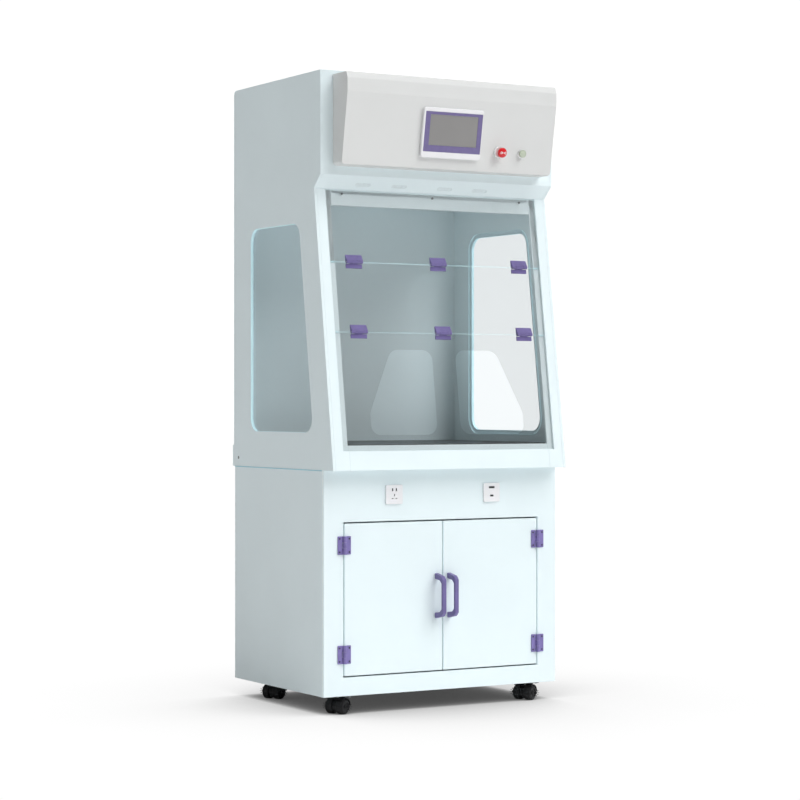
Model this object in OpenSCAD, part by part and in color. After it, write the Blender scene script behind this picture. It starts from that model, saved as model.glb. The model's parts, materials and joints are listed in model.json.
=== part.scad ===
// Filtered fume hood standing on a two-door cabinet with four casters.
// X runs to the right, Y to the back and Z up. The origin is on the floor,
// under the centre of the whole footprint. All sizes are in millimetres.

/* [Overall] */
// Width of the cabinet and of the hood
unit_w = 900; // [800:10:1200]
// Depth of the cabinet
cab_d = 644; // [560:2:800]
// Height of the cabinet's body, without its casters
cab_h = 733; // [660:1:880]
// Height of the hood above the cabinet
hood_h = 1298; // [1240:1:1560]

/* [Cabinet] */
// Thickness of the welded plastic sheet
sheet_t = 10; // [8:0.5:12]
// Thickness of the face frame and of the doors
door_t = 12; // [10:0.5:15]
// Height of the face frame above the doors
frame_head = 168.5; // [140:0.5:205]
// Height of the face frame below the doors
frame_foot = 60; // [50:0.5:80]
// Width of the face frame beside the doors
frame_side = 72.5; // [60:0.5:90]
// Gap around the doors and between them
door_gap = 5; // [3:0.1:6]
// Height of the shelf above the cabinet's floor
shelf_rise = 250; // [200:1:300]
// Thickness of the shelf
shelf_t = 10; // [8:0.5:14]
// Distance of each door hinge from the door's nearer end
door_hinge_inset = 70; // [50:1:90]

/* [Casters] */
// Height of a caster from the floor to the top of its plate
caster_h = 60; // [56:0.5:70]
// Diameter of a caster wheel
wheel_d = 50; // [44:0.5:52]
// Width of one of a caster's two wheels
wheel_w = 26; // [20:0.5:28]
// Distance of the wheel's axle from the swivel axis
caster_trail = 18; // [16:0.5:22]
// Direction in which the casters trail at rest, degrees from the right
caster_yaw = 207; // [0:1:359]
// Side of the square caster plate
caster_plate_w = 60; // [54:1:66]
// Distance of the caster plates' centres from the cabinet's sides
caster_side_inset = 86; // [60:1:120]
// Distance of the front casters' centres from the cabinet's front
caster_front_inset = 44; // [40:1:80]
// Distance of the rear casters' centres from the cabinet's back
caster_rear_inset = 150; // [60:1:180]

/* [Hood] */
// How far the hood's upper front stands behind the cabinet's front
hood_setback = 22; // [10:1:30]
// How far the hood's back stands behind the cabinet's back
hood_back_over = 8; // [0:0.5:12]
// Rise of the slanted window front
window_rise = 918; // [860:1:960]
// Slant of the window front from the vertical
front_angle = 8.1; // [5:0.1:10]
// Height of the sloped visor above the window
visor_h = 42; // [30:1:50]
// How far the visor reaches over the window
visor_d = 44; // [30:1:50]
// Height of the thicker lip along the back's lower edge
lip_h = 73; // [50:1:100]
// Thickness of that lip
lip_t = 9; // [4:0.5:12]
// Height of the worktop's surface above the cabinet
worktop_rise = 83; // [75:1:100]

/* [Window] */
// Thickness of the clear panes
pane_t = 5; // [4:0.5:6]
// How far the panes' faces lie behind the front of the frame
pane_recess = 3; // [2:0.5:4]
// Thickness of the window frame
frame_t = 18; // [16:0.5:24]
// Width of a window upright, from the side panel to its inner edge
upright_w = 54; // [44:1:60]
// Width of the step that the panes lie on
stop_w = 22; // [16:1:26]
// Height of the bottom rail's outer face
rail_h = 63; // [56:1:70]
// Height of the header rail behind the upper pane
header_h = 53; // [40:1:60]
// Height of the lower sash
lower_sash_h = 388; // [360:1:410]
// Height of the middle sash
middle_sash_h = 229.5; // [210:0.5:240]
// Gap between the panes
seam_gap = 2; // [1.5:0.1:3]
// Height of the two arm openings
arm_h = 283; // [240:1:290]
// Width of an arm opening along its lower edge
arm_w = 253; // [220:1:260]
// Distance of an arm opening from the middle of the sash
arm_from_middle = 44; // [40:1:60]
// Distance of the arm openings from the sash's lower edge
arm_sill = 51; // [45:1:60]

/* [Side windows] */
// Height of the side windows above the worktop
side_win_sill = 39; // [30:1:60]
// Height of a side window
side_win_h = 687; // [600:1:700]
// Distance of a side window from the hood's back
side_win_back = 130; // [110:1:150]
// Distance of a side window from the slanted front
side_win_front = 121; // [100:1:140]
// Corner radius of the side windows
side_win_r = 46; // [30:1:60]

/* [Hinges] */
// Width of a window hinge along its pin
hinge_w = 60; // [48:1:64]
// Height of a window hinge above its pin
hinge_up = 24; // [20:0.5:28]
// Height of a window hinge below its pin
hinge_down = 21; // [18:0.5:24]
// Distance of the outer window hinges' centres from the panes' ends
hinge_inset = 85.5; // [60:0.5:120]
// Length of a door hinge along its pin
door_hinge_l = 59.5; // [50:0.5:66]
// Width of a door hinge across both leaves
door_hinge_w = 48; // [40:1:52]
// Radius of every hinge pin
pin_r = 2.5; // [2:0.1:2.8]
// Radial clearance between a pin and a turning knuckle
pin_play = 0.06; // [0.02:0.01:0.1]

/* [Handles] */
// Length of a door handle
handle_l = 150; // [120:1:170]
// How far a handle stands out from its door
handle_reach = 52; // [46:1:58]
// Width of a handle
handle_w = 16; // [14:0.5:22]
// Distance of a handle from the middle of the cabinet
handle_from_middle = 16; // [10:0.5:30]

/* [Control fascia] */
// Distance of the fascia's ends from the hood's sides
fascia_side_inset = 46; // [20:1:70]
// Height of the fascia
fascia_h = 297; // [280:1:310]
// Distance of the fascia's top below the top of the hood
fascia_drop = 13; // [8:1:20]
// How far the fascia's lower edge stands out
fascia_low_reach = 58; // [50:1:66]
// How far the fascia's upper edge stands out
fascia_top_reach = 98; // [80:1:104]
// Height of the fascia's upright band, under its rounded top edge
fascia_band = 44; // [36:1:52]
// Wall thickness of the fascia
fascia_wall = 3; // [2:0.5:4]
// Width of the touch panel
hmi_w = 231; // [210:1:240]
// Height of the touch panel
hmi_h = 166; // [150:1:170]
// Distance of the stop button from the middle of the fascia
stop_button_x = 190; // [170:1:230]
// Distance of the start button from the middle of the fascia
start_button_x = 279; // [260:1:320]

/* [Hidden] */
$fn = 48;

// Heights of the main levels
cab_z = caster_h;
hood_z = cab_z + cab_h;
hood_top = hood_z + hood_h;
visor_z = hood_z + window_rise;
visor_top = visor_z + visor_h;
worktop_z = hood_z + worktop_rise;
shelf_z = cab_z + sheet_t + shelf_rise;

// Depths of the main planes, with the whole footprint centred on the origin
front_reach = fascia_top_reach - hood_setback;
back_reach = hood_back_over + lip_t;
cab_front = front_reach - (front_reach + cab_d + back_reach) / 2;
cab_back = cab_front + cab_d;
hood_front = cab_front + hood_setback;
hood_back_y = cab_back + hood_back_over;
visor_y = hood_front + visor_d;
sill_y = visor_y - window_rise * tan(front_angle);
inner_back = hood_back_y - sheet_t;

// Widths and the doors
half_w = unit_w / 2;
inner_half = half_w - sheet_t;
opening_half = half_w - frame_side;
opening_z0 = cab_z + frame_foot;
opening_z1 = hood_z - frame_head;
door_w = opening_half - door_gap * 1.5;
door_z0 = opening_z0 + door_gap;
door_z1 = opening_z1 - door_gap;
door_axis_x = opening_half - door_gap / 2;
handle_z = (door_z0 + door_z1) / 2;

// The slanted front: t runs up the slope from the sill, n stands out of it
slope_len = window_rise / cos(front_angle);
rebate = pane_t + pane_recess;
seat_gap = 0.3;
pane_edge = 1.5;
pane_half = inner_half - upright_w + stop_w - pane_edge;
lower_seam = rail_h + pane_edge + lower_sash_h + seam_gap / 2;
upper_seam = lower_seam + seam_gap + middle_sash_h;
pane_top = slope_len - 5;

// Window hinges: the pin stands clear of the panes so that the sashes fold outwards
knuckle_r = pin_r + 3.5;
pin_rise = knuckle_r + 1;
leaf_t = 3;
knuckle_gap = 0.6;
side_knuckle = hinge_w / 4;
hinge_pitch = pane_half - hinge_inset;

// Door hinges
door_knuckle_r = pin_r + 4;
door_pin_rise = door_knuckle_r + 0.5;
door_leaf_t = 4;

// Filter and fan compartment above the work chamber
ceiling_z = visor_z;
filter_w = 720;
filter_d = 400;
filter_y = (visor_y + inner_back) / 2 + 20;
prefilter_t = 20;
carbon_t = 120;
deck_z = ceiling_z + sheet_t + prefilter_t + carbon_t + 15;
deck_t = 6;
fan_r = 140;
inlet_r = 90;
impeller_h = 70;
impeller_z = deck_z + deck_t + 12;
motor_r = 52;
motor_h = 78;
shaft_r = 9;
motor_z = impeller_z + impeller_h + 8;
bridge_z = motor_z + motor_h;

// Fascia: the main face leans forward from its lower edge
fascia_w = unit_w - 2 * fascia_side_inset;
fascia_z1 = hood_top - fascia_drop;
fascia_z0 = fascia_z1 - fascia_h;
fascia_edge_h = 21;
fascia_edge_d = 8;
fascia_bend_z = fascia_z1 - fascia_edge_h - fascia_band;
fascia_lean = atan((fascia_top_reach - fascia_low_reach) / (fascia_bend_z - fascia_z0));
fascia_r = 13;
hmi_mid = 121;
button_mid = 70;

// Casters: which side, which end, and where the swivel axis stands
caster_x = half_w - caster_side_inset;
caster_front_y = cab_front + caster_front_inset;
caster_rear_y = cab_back - caster_rear_inset;
caster_plate_t = 4;
caster_web = 16;
king_pin_r = 5;
axle_r = 3;

// Colours
white_plastic = [0.90, 0.97, 0.99];
shell_grey = [0.86, 0.87, 0.87];
hinge_purple = [0.49, 0.45, 0.65];
clear_tint = [0.70, 0.85, 0.88, 0.35];
worktop_grey = [0.30, 0.32, 0.33];
caster_black = [0.08, 0.08, 0.08];
metal_grey = [0.70, 0.70, 0.72];

// ---- Outlines -------------------------------------------------------------

function unit(v) = v / norm(v);

// The arc that rounds corner b of a-b-c with radius r, as n + 1 points
function corner_arc(a, b, c, r, n) =
    let (
        u = unit(a - b), v = unit(c - b),
        half = acos(u * v) / 2,
        centre = b + unit(u + v) * r / sin(half),
        p = b + u * r / tan(half) - centre,
        q = b + v * r / tan(half) - centre,
        start = atan2(p[1], p[0]),
        sweep = (atan2(q[1], q[0]) - start + 540) % 360 - 180
    )
    [for (i = [0:n]) centre + r * [cos(start + sweep * i / n), sin(start + sweep * i / n)]];

// An outline with each corner rounded by its own radius
function rounded(pts, radii, n = 8) =
    let (k = len(pts))
    [for (i = [0:k - 1]) each radii[i] > 0
        ? corner_arc(pts[(i + k - 1) % k], pts[i], pts[(i + 1) % k], radii[i], n)
        : [pts[i]]];

function mirrored(pts) = [for (i = [len(pts) - 1:-1:0]) [-pts[i][0], pts[i][1]]];

function box_outline(x0, y0, x1, y1) = [[x0, y0], [x1, y0], [x1, y1], [x0, y1]];

// Depth of the slanted front's outer plane at height z
function front_at(z) = sill_y + (z - hood_z) * tan(front_angle);

// Depth of the plane just behind the window frame at height z
function behind_frame(z) = front_at(z) + frame_t / cos(front_angle);

// ---- Placing --------------------------------------------------------------

// Extrudes an outline in Y and Z from x0 to x1
module along_x(x0, x1) translate([x0, 0, 0]) rotate([90, 0, 90]) linear_extrude(x1 - x0) children();

// Extrudes an outline in X and Z from y0 to y1
module along_y(y0, y1) translate([0, y1, 0]) rotate([90, 0, 0]) linear_extrude(y1 - y0) children();

module block(x0, x1, y0, y1, z0, z1) translate([x0, y0, z0]) cube([x1 - x0, y1 - y0, z1 - z0]);

// Local x, y and z become X, up the slanted front, and out of it
module on_window() translate([0, sill_y, hood_z]) rotate([90 - front_angle, 0, 0]) children();

// Local x, y and z become X, up the fascia's main face, and out of it
module on_fascia() {
    translate([0, hood_front - fascia_low_reach, fascia_z0])
        rotate([90 + fascia_lean, 0, 0]) children();
}

// A slab on the slanted front, from depth n0 out to n1
module window_slab(n0, n1) on_window() translate([0, 0, n0]) linear_extrude(n1 - n0) children();

// ---- Cabinet --------------------------------------------------------------

module cabinet_sides() {
    color(white_plastic) for (s = [-1, 1]) {
        x = s < 0 ? -half_w : inner_half;
        block(x, x + sheet_t, cab_front + door_t, cab_back, cab_z, hood_z);
    }
}

module cabinet_back() {
    color(white_plastic)
        block(-inner_half, inner_half, cab_back - sheet_t, cab_back, cab_z + sheet_t, hood_z);
}

module cabinet_floor() {
    color(white_plastic)
        block(-inner_half, inner_half, cab_front + door_t, cab_back, cab_z, cab_z + sheet_t);
}

socket_x = half_w - 261;
socket_z = hood_z - 82;
socket_w = 63;
socket_box_w = 50;

module face_frame() {
    color(white_plastic) difference() {
        block(-half_w, half_w, cab_front, cab_front + door_t, cab_z, hood_z);
        block(-opening_half, opening_half, cab_front - 1, cab_front + door_t + 1,
            opening_z0, opening_z1);
        for (s = [-1, 1]) {
            block(s * socket_x - socket_box_w / 2, s * socket_x + socket_box_w / 2,
                cab_front - 1, cab_front + door_t + 1,
                socket_z - socket_box_w / 2, socket_z + socket_box_w / 2);
        }
    }
}

shelf_front = cab_front + door_t + 60;
shelf_play = 1;

module shelf() {
    color(white_plastic)
        block(-inner_half + shelf_play, inner_half - shelf_play, shelf_front,
            cab_back - sheet_t - shelf_play, shelf_z, shelf_z + shelf_t);
}

module shelf_pins() {
    pin_len = 22;
    color(white_plastic) for (s = [-1, 1], y = [shelf_front + 50, cab_back - sheet_t - 60]) {
        translate([s * inner_half, y, shelf_z - 4]) rotate([0, -s * 90, 0])
            cylinder(r = 4, h = pin_len);
    }
}

// One door hinge seen from the front with its pin along Z; the door is on the +X side
module door_knuckle(z0, z1) {
    translate([0, -door_pin_rise, z0]) cylinder(r = door_knuckle_r, h = z1 - z0);
}

module door_leaf_plate(side) {
    clear = door_knuckle_r + knuckle_gap;
    x = side < 0 ? -door_hinge_w / 2 : clear;
    outline = box_outline(x, -door_hinge_l / 2, x + door_hinge_w / 2 - clear, door_hinge_l / 2);
    along_y(-door_leaf_t, 0) difference() {
        polygon(rounded(outline, side < 0 ? [2, 0, 0, 2] : [0, 2, 2, 0], 4));
        for (z = [-1, 1]) translate([side * (door_hinge_w / 2 - 6), z * (door_hinge_l / 2 - 8)])
            circle(r = 2.1, $fn = 24);
    }
}

module door_frame_leaf() {
    end = door_hinge_l / 2;
    inner = door_hinge_l / 6;
    difference() {
        union() {
            door_leaf_plate(-1);
            for (z = [-1, 1]) {
                z0 = z < 0 ? -end : inner;
                door_knuckle(z0, z0 + end - inner);
                block(-door_knuckle_r - knuckle_gap, 0, -door_leaf_t, 0, z0, z0 + end - inner);
            }
        }
        translate([0, -door_pin_rise, -end - 1]) cylinder(r = pin_r, h = door_hinge_l + 2);
    }
}

module door_swing_leaf() {
    inner = door_hinge_l / 6 - knuckle_gap;
    difference() {
        union() {
            door_leaf_plate(1);
            door_knuckle(-inner, inner);
            block(0, door_knuckle_r + knuckle_gap, -door_leaf_t, 0, -inner, inner);
        }
        translate([0, -door_pin_rise, -inner - 1]) cylinder(r = pin_r + pin_play, h = 2 * inner + 2);
    }
}

// Both hinges of the door on side s, s = -1 on the left
module at_door_hinges(s) {
    for (z = [door_z0 + door_hinge_inset, door_z1 - door_hinge_inset])
        translate([s * door_axis_x, cab_front, z]) scale([-s, 1, 1]) children();
}

module frame_hinge_leaves() {
    color(hinge_purple) for (s = [-1, 1]) at_door_hinges(s) door_frame_leaf();
}

module door_hinge_pins() {
    color(metal_grey) for (s = [-1, 1]) at_door_hinges(s)
        translate([0, -door_pin_rise, -door_hinge_l / 2]) cylinder(r = pin_r, h = door_hinge_l);
}

module left_door_leaves() { color(hinge_purple) at_door_hinges(-1) door_swing_leaf(); }

module right_door_leaves() { color(hinge_purple) at_door_hinges(1) door_swing_leaf(); }

module door_panel(s) {
    x0 = s < 0 ? -door_gap / 2 - door_w : door_gap / 2;
    color(white_plastic) block(x0, x0 + door_w, cab_front, cab_front + door_t, door_z0, door_z1);
}

module left_door() { door_panel(-1); }

module right_door() { door_panel(1); }

// A bow handle; the outline runs out from the door and along it
module bow_handle(s) {
    half = handle_l / 2;
    foot = 19;
    grip = 10;
    slant = 20;
    drift = 8;
    bend = handle_reach - 12;
    inner = handle_reach - grip;
    outline = [
        [0, -half], [bend, drift - half], [handle_reach, slant - half],
        [handle_reach, half - slant], [bend, half - drift], [0, half],
        [0, half - foot], [inner - 12, half - foot - 4], [inner, half - foot - 14],
        [inner, foot + 14 - half], [inner - 12, foot + 4 - half], [0, foot - half]
    ];
    x0 = s < 0 ? -handle_from_middle - handle_w : handle_from_middle;
    color(hinge_purple) translate([x0, cab_front, handle_z]) rotate([90, 0, 90])
        linear_extrude(handle_w) polygon(rounded([for (p = outline) [-p[0], p[1]]],
            [0, 8, 8, 8, 8, 0, 0, 6, 6, 6, 6, 0], 5));
}

module left_handle() { bow_handle(-1); }

module right_handle() { bow_handle(1); }

// A face plate with its box behind; cuts are small slots [x, z, width, height]
module socket(x, cuts) {
    plate_t = 6;
    half = socket_w / 2;
    box_half = socket_box_w / 2 - 0.5;
    translate([x, cab_front, socket_z]) difference() {
        union() {
            along_y(-plate_t, 0) polygon(rounded(box_outline(-half, -half, half, half), [4, 4, 4, 4], 6));
            block(-box_half, box_half, 0, door_t + 28, -box_half, box_half);
        }
        for (c = cuts) block(c[0] - c[2] / 2, c[0] + c[2] / 2, -plate_t - 1, 8,
            c[1] - c[3] / 2, c[1] + c[3] / 2);
    }
}

module socket_plates() {
    color("white") {
        socket(-socket_x, [[-7, 16, 4.5, 9], [7, 16, 4.5, 9], [0, -2, 2.4, 7],
            [-7, -13, 6, 2.2], [7, -13, 6, 2.2]]);
        socket(socket_x, [[0, 17, 22, 6.5], [0, -11, 13, 6]]);
    }
}

// ---- Casters --------------------------------------------------------------

module at_caster(sx, y) translate([sx * caster_x, y, 0]) children();

// Fork and wheels, turned to where they trail at rest
module at_swivel(sx, y) at_caster(sx, y) rotate([0, 0, caster_yaw]) children();

module caster_plates() {
    half = caster_plate_w / 2;
    hole = half - 8;
    color(caster_black) for (sx = [-1, 1], y = [caster_front_y, caster_rear_y]) at_caster(sx, y)
        difference() {
            translate([0, 0, caster_h - caster_plate_t]) linear_extrude(caster_plate_t) difference() {
                polygon(rounded(box_outline(-half, -half, half, half), [5, 5, 5, 5], 4));
                for (i = [-1, 1], j = [-1, 1]) translate([i * hole, j * hole]) circle(r = 2.75, $fn = 24);
            }
            translate([0, 0, caster_h - caster_plate_t - 1])
                cylinder(r = king_pin_r + pin_play, h = caster_plate_t + 2);
        }
}

// The swivelling body: king pin, bearing boss, web between the wheels, and a hood over them
module caster_fork() {
    boss_z = caster_h - caster_plate_t - 0.6;
    wheel_r = wheel_d / 2;
    hood_r = wheel_r + 1.2;
    hood_half = caster_web / 2 + wheel_w;
    color(caster_black) difference() {
        union() {
            cylinder(r = king_pin_r, h = caster_h - 1);
            translate([0, 0, boss_z - 6]) cylinder(r = 20, h = 6);
            translate([caster_trail, caster_web / 2, wheel_r]) rotate([90, 0, 0])
                cylinder(r = wheel_r - 4, h = caster_web);
            block(-13, caster_trail + 6, -caster_web / 2, caster_web / 2, wheel_r - 6, boss_z - 3);
            intersection() {
                translate([caster_trail, hood_half, wheel_r]) rotate([90, 0, 0]) difference() {
                    cylinder(r = hood_r + 2.4, h = 2 * hood_half);
                    translate([0, 0, -1]) cylinder(r = hood_r, h = 2 * hood_half + 2);
                }
                block(-20, caster_trail + 12, -hood_half, hood_half, wheel_r + 2, boss_z);
            }
        }
        translate([0, 0, -1]) cylinder(r = 12, h = wheel_r - 6 + 1);
        for (s = [-1, 1]) translate([caster_trail, s * (caster_web / 2 + 0.4), wheel_r])
            rotate([-s * 90, 0, 0]) cylinder(r = hood_r, h = wheel_w + 5);
        translate([caster_trail, caster_web, wheel_r]) rotate([90, 0, 0])
            cylinder(r = axle_r + pin_play, h = 2 * caster_web);
    }
}

// Both wheels of a caster with the axle that they share
module caster_wheels() {
    wheel_r = wheel_d / 2;
    start = caster_web / 2 + 0.8;
    color(caster_black) translate([caster_trail, 0, wheel_r]) for (s = [-1, 1]) rotate([-s * 90, 0, 0]) {
        translate([0, 0, start]) rotate_extrude() polygon([
            [axle_r, 0], [wheel_r - 2, 0], [wheel_r, 2],
            [wheel_r, wheel_w - 5], [wheel_r - 3, wheel_w - 1.5], [wheel_r - 8, wheel_w - 0.8],
            [wheel_r - 9, wheel_w - 2.5], [8, wheel_w - 2.5], [7, wheel_w - 0.8], [axle_r, wheel_w - 0.8]
        ]);
    }
    color(metal_grey) translate([caster_trail, start + wheel_w - 1, wheel_r]) rotate([90, 0, 0])
        cylinder(r = axle_r, h = 2 * (start + wheel_w - 1));
}

module front_left_fork() { at_swivel(-1, caster_front_y) caster_fork(); }

module front_right_fork() { at_swivel(1, caster_front_y) caster_fork(); }

module rear_left_fork() { at_swivel(-1, caster_rear_y) caster_fork(); }

module rear_right_fork() { at_swivel(1, caster_rear_y) caster_fork(); }

module front_left_wheels() { at_swivel(-1, caster_front_y) caster_wheels(); }

module front_right_wheels() { at_swivel(1, caster_front_y) caster_wheels(); }

module rear_left_wheels() { at_swivel(-1, caster_rear_y) caster_wheels(); }

module rear_right_wheels() { at_swivel(1, caster_rear_y) caster_wheels(); }

// ---- Hood shell -----------------------------------------------------------

// The hood's side seen from the right, in Y and Z
hood_profile = [
    [sill_y, hood_z], [hood_back_y, hood_z], [hood_back_y, hood_top],
    [hood_front, hood_top], [hood_front, visor_top], [visor_y, visor_z]
];

// A side window's outline grown by g, in Y and Z
function side_window(g) =
    let (
        z0 = worktop_z + side_win_sill - g,
        z1 = worktop_z + side_win_sill + side_win_h + g,
        back = hood_back_y - side_win_back + g,
        near = side_win_front - g,
        r = side_win_r + g
    )
    rounded([[front_at(z0) + near, z0], [back, z0], [back, z1], [front_at(z1) + near, z1]],
        [r, r, r, r], 16);

module hood_sides() {
    color(white_plastic) for (s = [-1, 1]) {
        x = s < 0 ? -half_w : inner_half;
        along_x(x, x + sheet_t) difference() {
            polygon(rounded(hood_profile, [0, 0, roof_r, 0, 0, 0]));
            polygon(side_window(0));
        }
    }
}

module side_panes() {
    color(clear_tint) for (s = [-1, 1]) {
        x = s < 0 ? -inner_half : inner_half - pane_t;
        along_x(x, x + pane_t) polygon(side_window(14));
    }
}

inlet_x = 300;
inlet_z = hood_z + lip_h / 2;
inlet_w = 28;
inlet_h = 20;

module hood_back() {
    color(white_plastic) difference() {
        union() {
            block(-inner_half, inner_half, inner_back, hood_back_y,
                hood_z + sheet_t, hood_top - roof_r - 8);
            block(-half_w, half_w, hood_back_y, hood_back_y + lip_t, hood_z, hood_z + lip_h);
        }
        block(inlet_x - inlet_w / 2, inlet_x + inlet_w / 2, inner_back - 1, hood_back_y + lip_t + 1,
            inlet_z - inlet_h / 2, inlet_z + inlet_h / 2);
    }
}

module power_inlet() {
    play = 0.3;
    color("dimgray") translate([inlet_x, hood_back_y + lip_t, inlet_z]) difference() {
        union() {
            along_y(0, 2.5) polygon(rounded(box_outline(-25, -14, 25, 14), [5, 5, 5, 5], 4));
            block(-inlet_w / 2 + play, inlet_w / 2 - play, -34, 0, -inlet_h / 2 + play, inlet_h / 2 - play);
        }
        block(-12, 12, -17, 5, -8, 8);
    }
}

module hood_floor() {
    z1 = hood_z + sheet_t;
    color(white_plastic) along_x(-inner_half, inner_half) polygon([
        [behind_frame(hood_z), hood_z], [hood_back_y, hood_z], [hood_back_y, z1], [behind_frame(z1), z1]
    ]);
}

grille_w = 420;
grille_d = 300;
grille_y = filter_y;
grille_t = 6;
grille_play = 0.5;
grille_ledge = 8;
roof_r = 16;

// Roof sheet, bent down along the back edge to meet the back; the grille lies on a ledge in it
module roof_panel() {
    z0 = hood_top - sheet_t;
    color(white_plastic) difference() {
        along_x(-inner_half, inner_half) polygon(concat(
            [[hood_front + sheet_t, z0], [hood_front + sheet_t, hood_top]],
            corner_arc([0, hood_top], [hood_back_y, hood_top], [hood_back_y, 0], roof_r, 8),
            [[hood_back_y, hood_top - roof_r - 8], [inner_back, hood_top - roof_r - 8]],
            corner_arc([inner_back, 0], [inner_back, z0], [0, z0], roof_r - sheet_t, 6)
        ));
        block(-grille_w / 2, grille_w / 2, grille_y - grille_d / 2, grille_y + grille_d / 2,
            hood_top - grille_t, hood_top + 1);
        block(grille_ledge - grille_w / 2, grille_w / 2 - grille_ledge,
            grille_y - grille_d / 2 + grille_ledge, grille_y + grille_d / 2 - grille_ledge,
            z0 - 1, hood_top);
    }
}

module exhaust_grille() {
    slots = 9;
    rim = 14;
    pitch = (grille_d - 2 * rim) / slots;
    color(white_plastic) translate([0, grille_y, hood_top - grille_t]) linear_extrude(grille_t) difference() {
        square([grille_w - 2 * grille_play, grille_d - 2 * grille_play], center = true);
        for (i = [0:slots - 1], s = [-1, 1])
            translate([s * (grille_w / 4 - 4), -grille_d / 2 + rim + pitch * (i + 0.5)])
                square([grille_w / 2 - 2 * rim, pitch * 0.6], center = true);
    }
}

// Upper front and visor, bent from one sheet; the visor has two pairs of long shallow vents
vent_left = 174 - half_w;
vent_right = 487 - half_w;
vent_pitch = 137;
vent_w = 58;
vent_h = 15;

module visor_panel() {
    lean = atan(visor_d / visor_h);
    skin = sheet_t / cos(lean / 2);
    fold = sheet_t * tan(lean / 2);
    color(white_plastic) difference() {
        along_x(-inner_half, inner_half) polygon([
            [hood_front, hood_top], [hood_front, visor_top], [visor_y, visor_z],
            [visor_y + sheet_t / cos(lean), visor_z],
            [hood_front + sheet_t, visor_top + fold], [hood_front + sheet_t, hood_top]
        ]);
        for (x = [vent_left, vent_left + vent_pitch, vent_right, vent_right + vent_pitch])
            translate([x, (hood_front + visor_y) / 2, (visor_z + visor_top) / 2])
                rotate([lean, 0, 0]) translate([0, 0, -8]) along_y(-20, 1.5)
                    polygon(rounded(box_outline(-vent_w / 2, -vent_h / 2, vent_w / 2, vent_h / 2),
                        [7.4, 7.4, 7.4, 7.4], 6));
    }
}

// Slab with a skirt along its front and ends, open at the back over the power inlet
module worktop() {
    slab = 20;
    skirt = 10;
    front = behind_frame(worktop_z) + 1;
    play = 0.5;
    color(worktop_grey) difference() {
        block(-inner_half + play, inner_half - play, front, inner_back - play, hood_z + sheet_t, worktop_z);
        block(-inner_half + skirt, inner_half - skirt, front + skirt, inner_back,
            hood_z + sheet_t - 1, worktop_z - slab);
    }
}

// ---- Window ---------------------------------------------------------------

// Keeps what lies between the hood's base and the foot of the visor
module window_zone() {
    intersection() {
        children();
        block(-half_w, half_w, sill_y - 200, cab_back, hood_z, visor_z);
    }
}

upright_in = inner_half - upright_w;
step_x = upright_in + stop_w;
run_out = 20;

// Uprights, each with a step that the panes lie on
module window_uprights() {
    color(white_plastic) window_zone() for (s = [-1, 1]) {
        window_slab(-frame_t, -rebate) scale([s, 1])
            polygon(box_outline(upright_in, -run_out, inner_half, slope_len + run_out));
        window_slab(-rebate, 0) scale([s, 1]) difference() {
            polygon(box_outline(upright_in, -run_out, inner_half, slope_len + run_out));
            polygon(box_outline(upright_in - 1, rail_h, step_x, slope_len + 2 * run_out));
        }
    }
}

module header_rail() {
    t0 = slope_len - header_h;
    color(white_plastic) window_zone() window_slab(-frame_t, -rebate)
        polygon(box_outline(-upright_in, t0, upright_in, slope_len + run_out));
}

module bottom_rail() {
    color(white_plastic) window_zone() {
        window_slab(-frame_t, -rebate)
            polygon(box_outline(-upright_in, -run_out, upright_in, rail_h + stop_w - 2));
        window_slab(-rebate, 0) polygon(box_outline(-upright_in, -run_out, upright_in, rail_h));
    }
}

// Fixed upper pane, with three screw holes along its top
screw_x = pane_half - 60.5;
screw_t = slope_len - 15;
screw_r = 2.5;

module upper_pane() {
    color(clear_tint) window_slab(-rebate, -pane_recess) difference() {
        polygon(box_outline(-pane_half, upper_seam + seam_gap / 2, pane_half, pane_top));
        for (x = [-screw_x, 0, screw_x]) translate([x, screw_t]) circle(r = screw_r + 0.2, $fn = 24);
    }
}

module pan_head(r, h, shank) {
    cylinder(r1 = r, r2 = r * 0.6, h = h);
    translate([0, 0, -shank]) cylinder(r = r * 0.5, h = shank, $fn = 24);
}

case_screw_y = hood_back_y - 36;
case_screw_z = hood_z + 30;

module case_screws() {
    color("gray") {
        on_window() for (x = [-screw_x, 0, screw_x]) translate([x, screw_t, -pane_recess])
            pan_head(4.6, 2.4, pane_t);
        for (s = [-1, 1]) translate([s * half_w, case_screw_y, case_screw_z]) rotate([0, s * 90, 0])
            cylinder(r1 = 5, r2 = 3.4, h = 2);
    }
}

module middle_sash() {
    color(clear_tint) window_slab(-rebate + seat_gap, -pane_recess)
        polygon(box_outline(-pane_half, lower_seam + seam_gap / 2, pane_half, upper_seam - seam_gap / 2));
}

// Right arm opening: upright inner edge, slanted outer edge, large round corners
function arm_outline() =
    let (x0 = arm_from_middle, x1 = x0 + arm_w, z0 = rail_h + pane_edge + arm_sill)
    rounded([
        [x0, z0], [x1, z0], [x1, z0 + arm_h * 0.26], [x0 + arm_w * 0.63, z0 + arm_h], [x0, z0 + arm_h]
    ], [40, 34, 60, 44, 36], 14);

module lower_sash() {
    color(clear_tint) window_slab(-rebate + seat_gap, -pane_recess) difference() {
        polygon(box_outline(-pane_half, rail_h + pane_edge, pane_half, lower_seam - seam_gap / 2));
        polygon(arm_outline());
        polygon(mirrored(arm_outline()));
    }
}

// Window hinges: local x along the pin, y up the pane and z out of it, from the pane's face
module at_window_hinges(seam) {
    on_window() for (i = [-1:1]) translate([i * hinge_pitch, seam, -pane_recess]) children();
}

module window_knuckle(x0, x1) {
    translate([x0, 0, pin_rise]) rotate([0, 90, 0]) cylinder(r = knuckle_r, h = x1 - x0);
}

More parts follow.
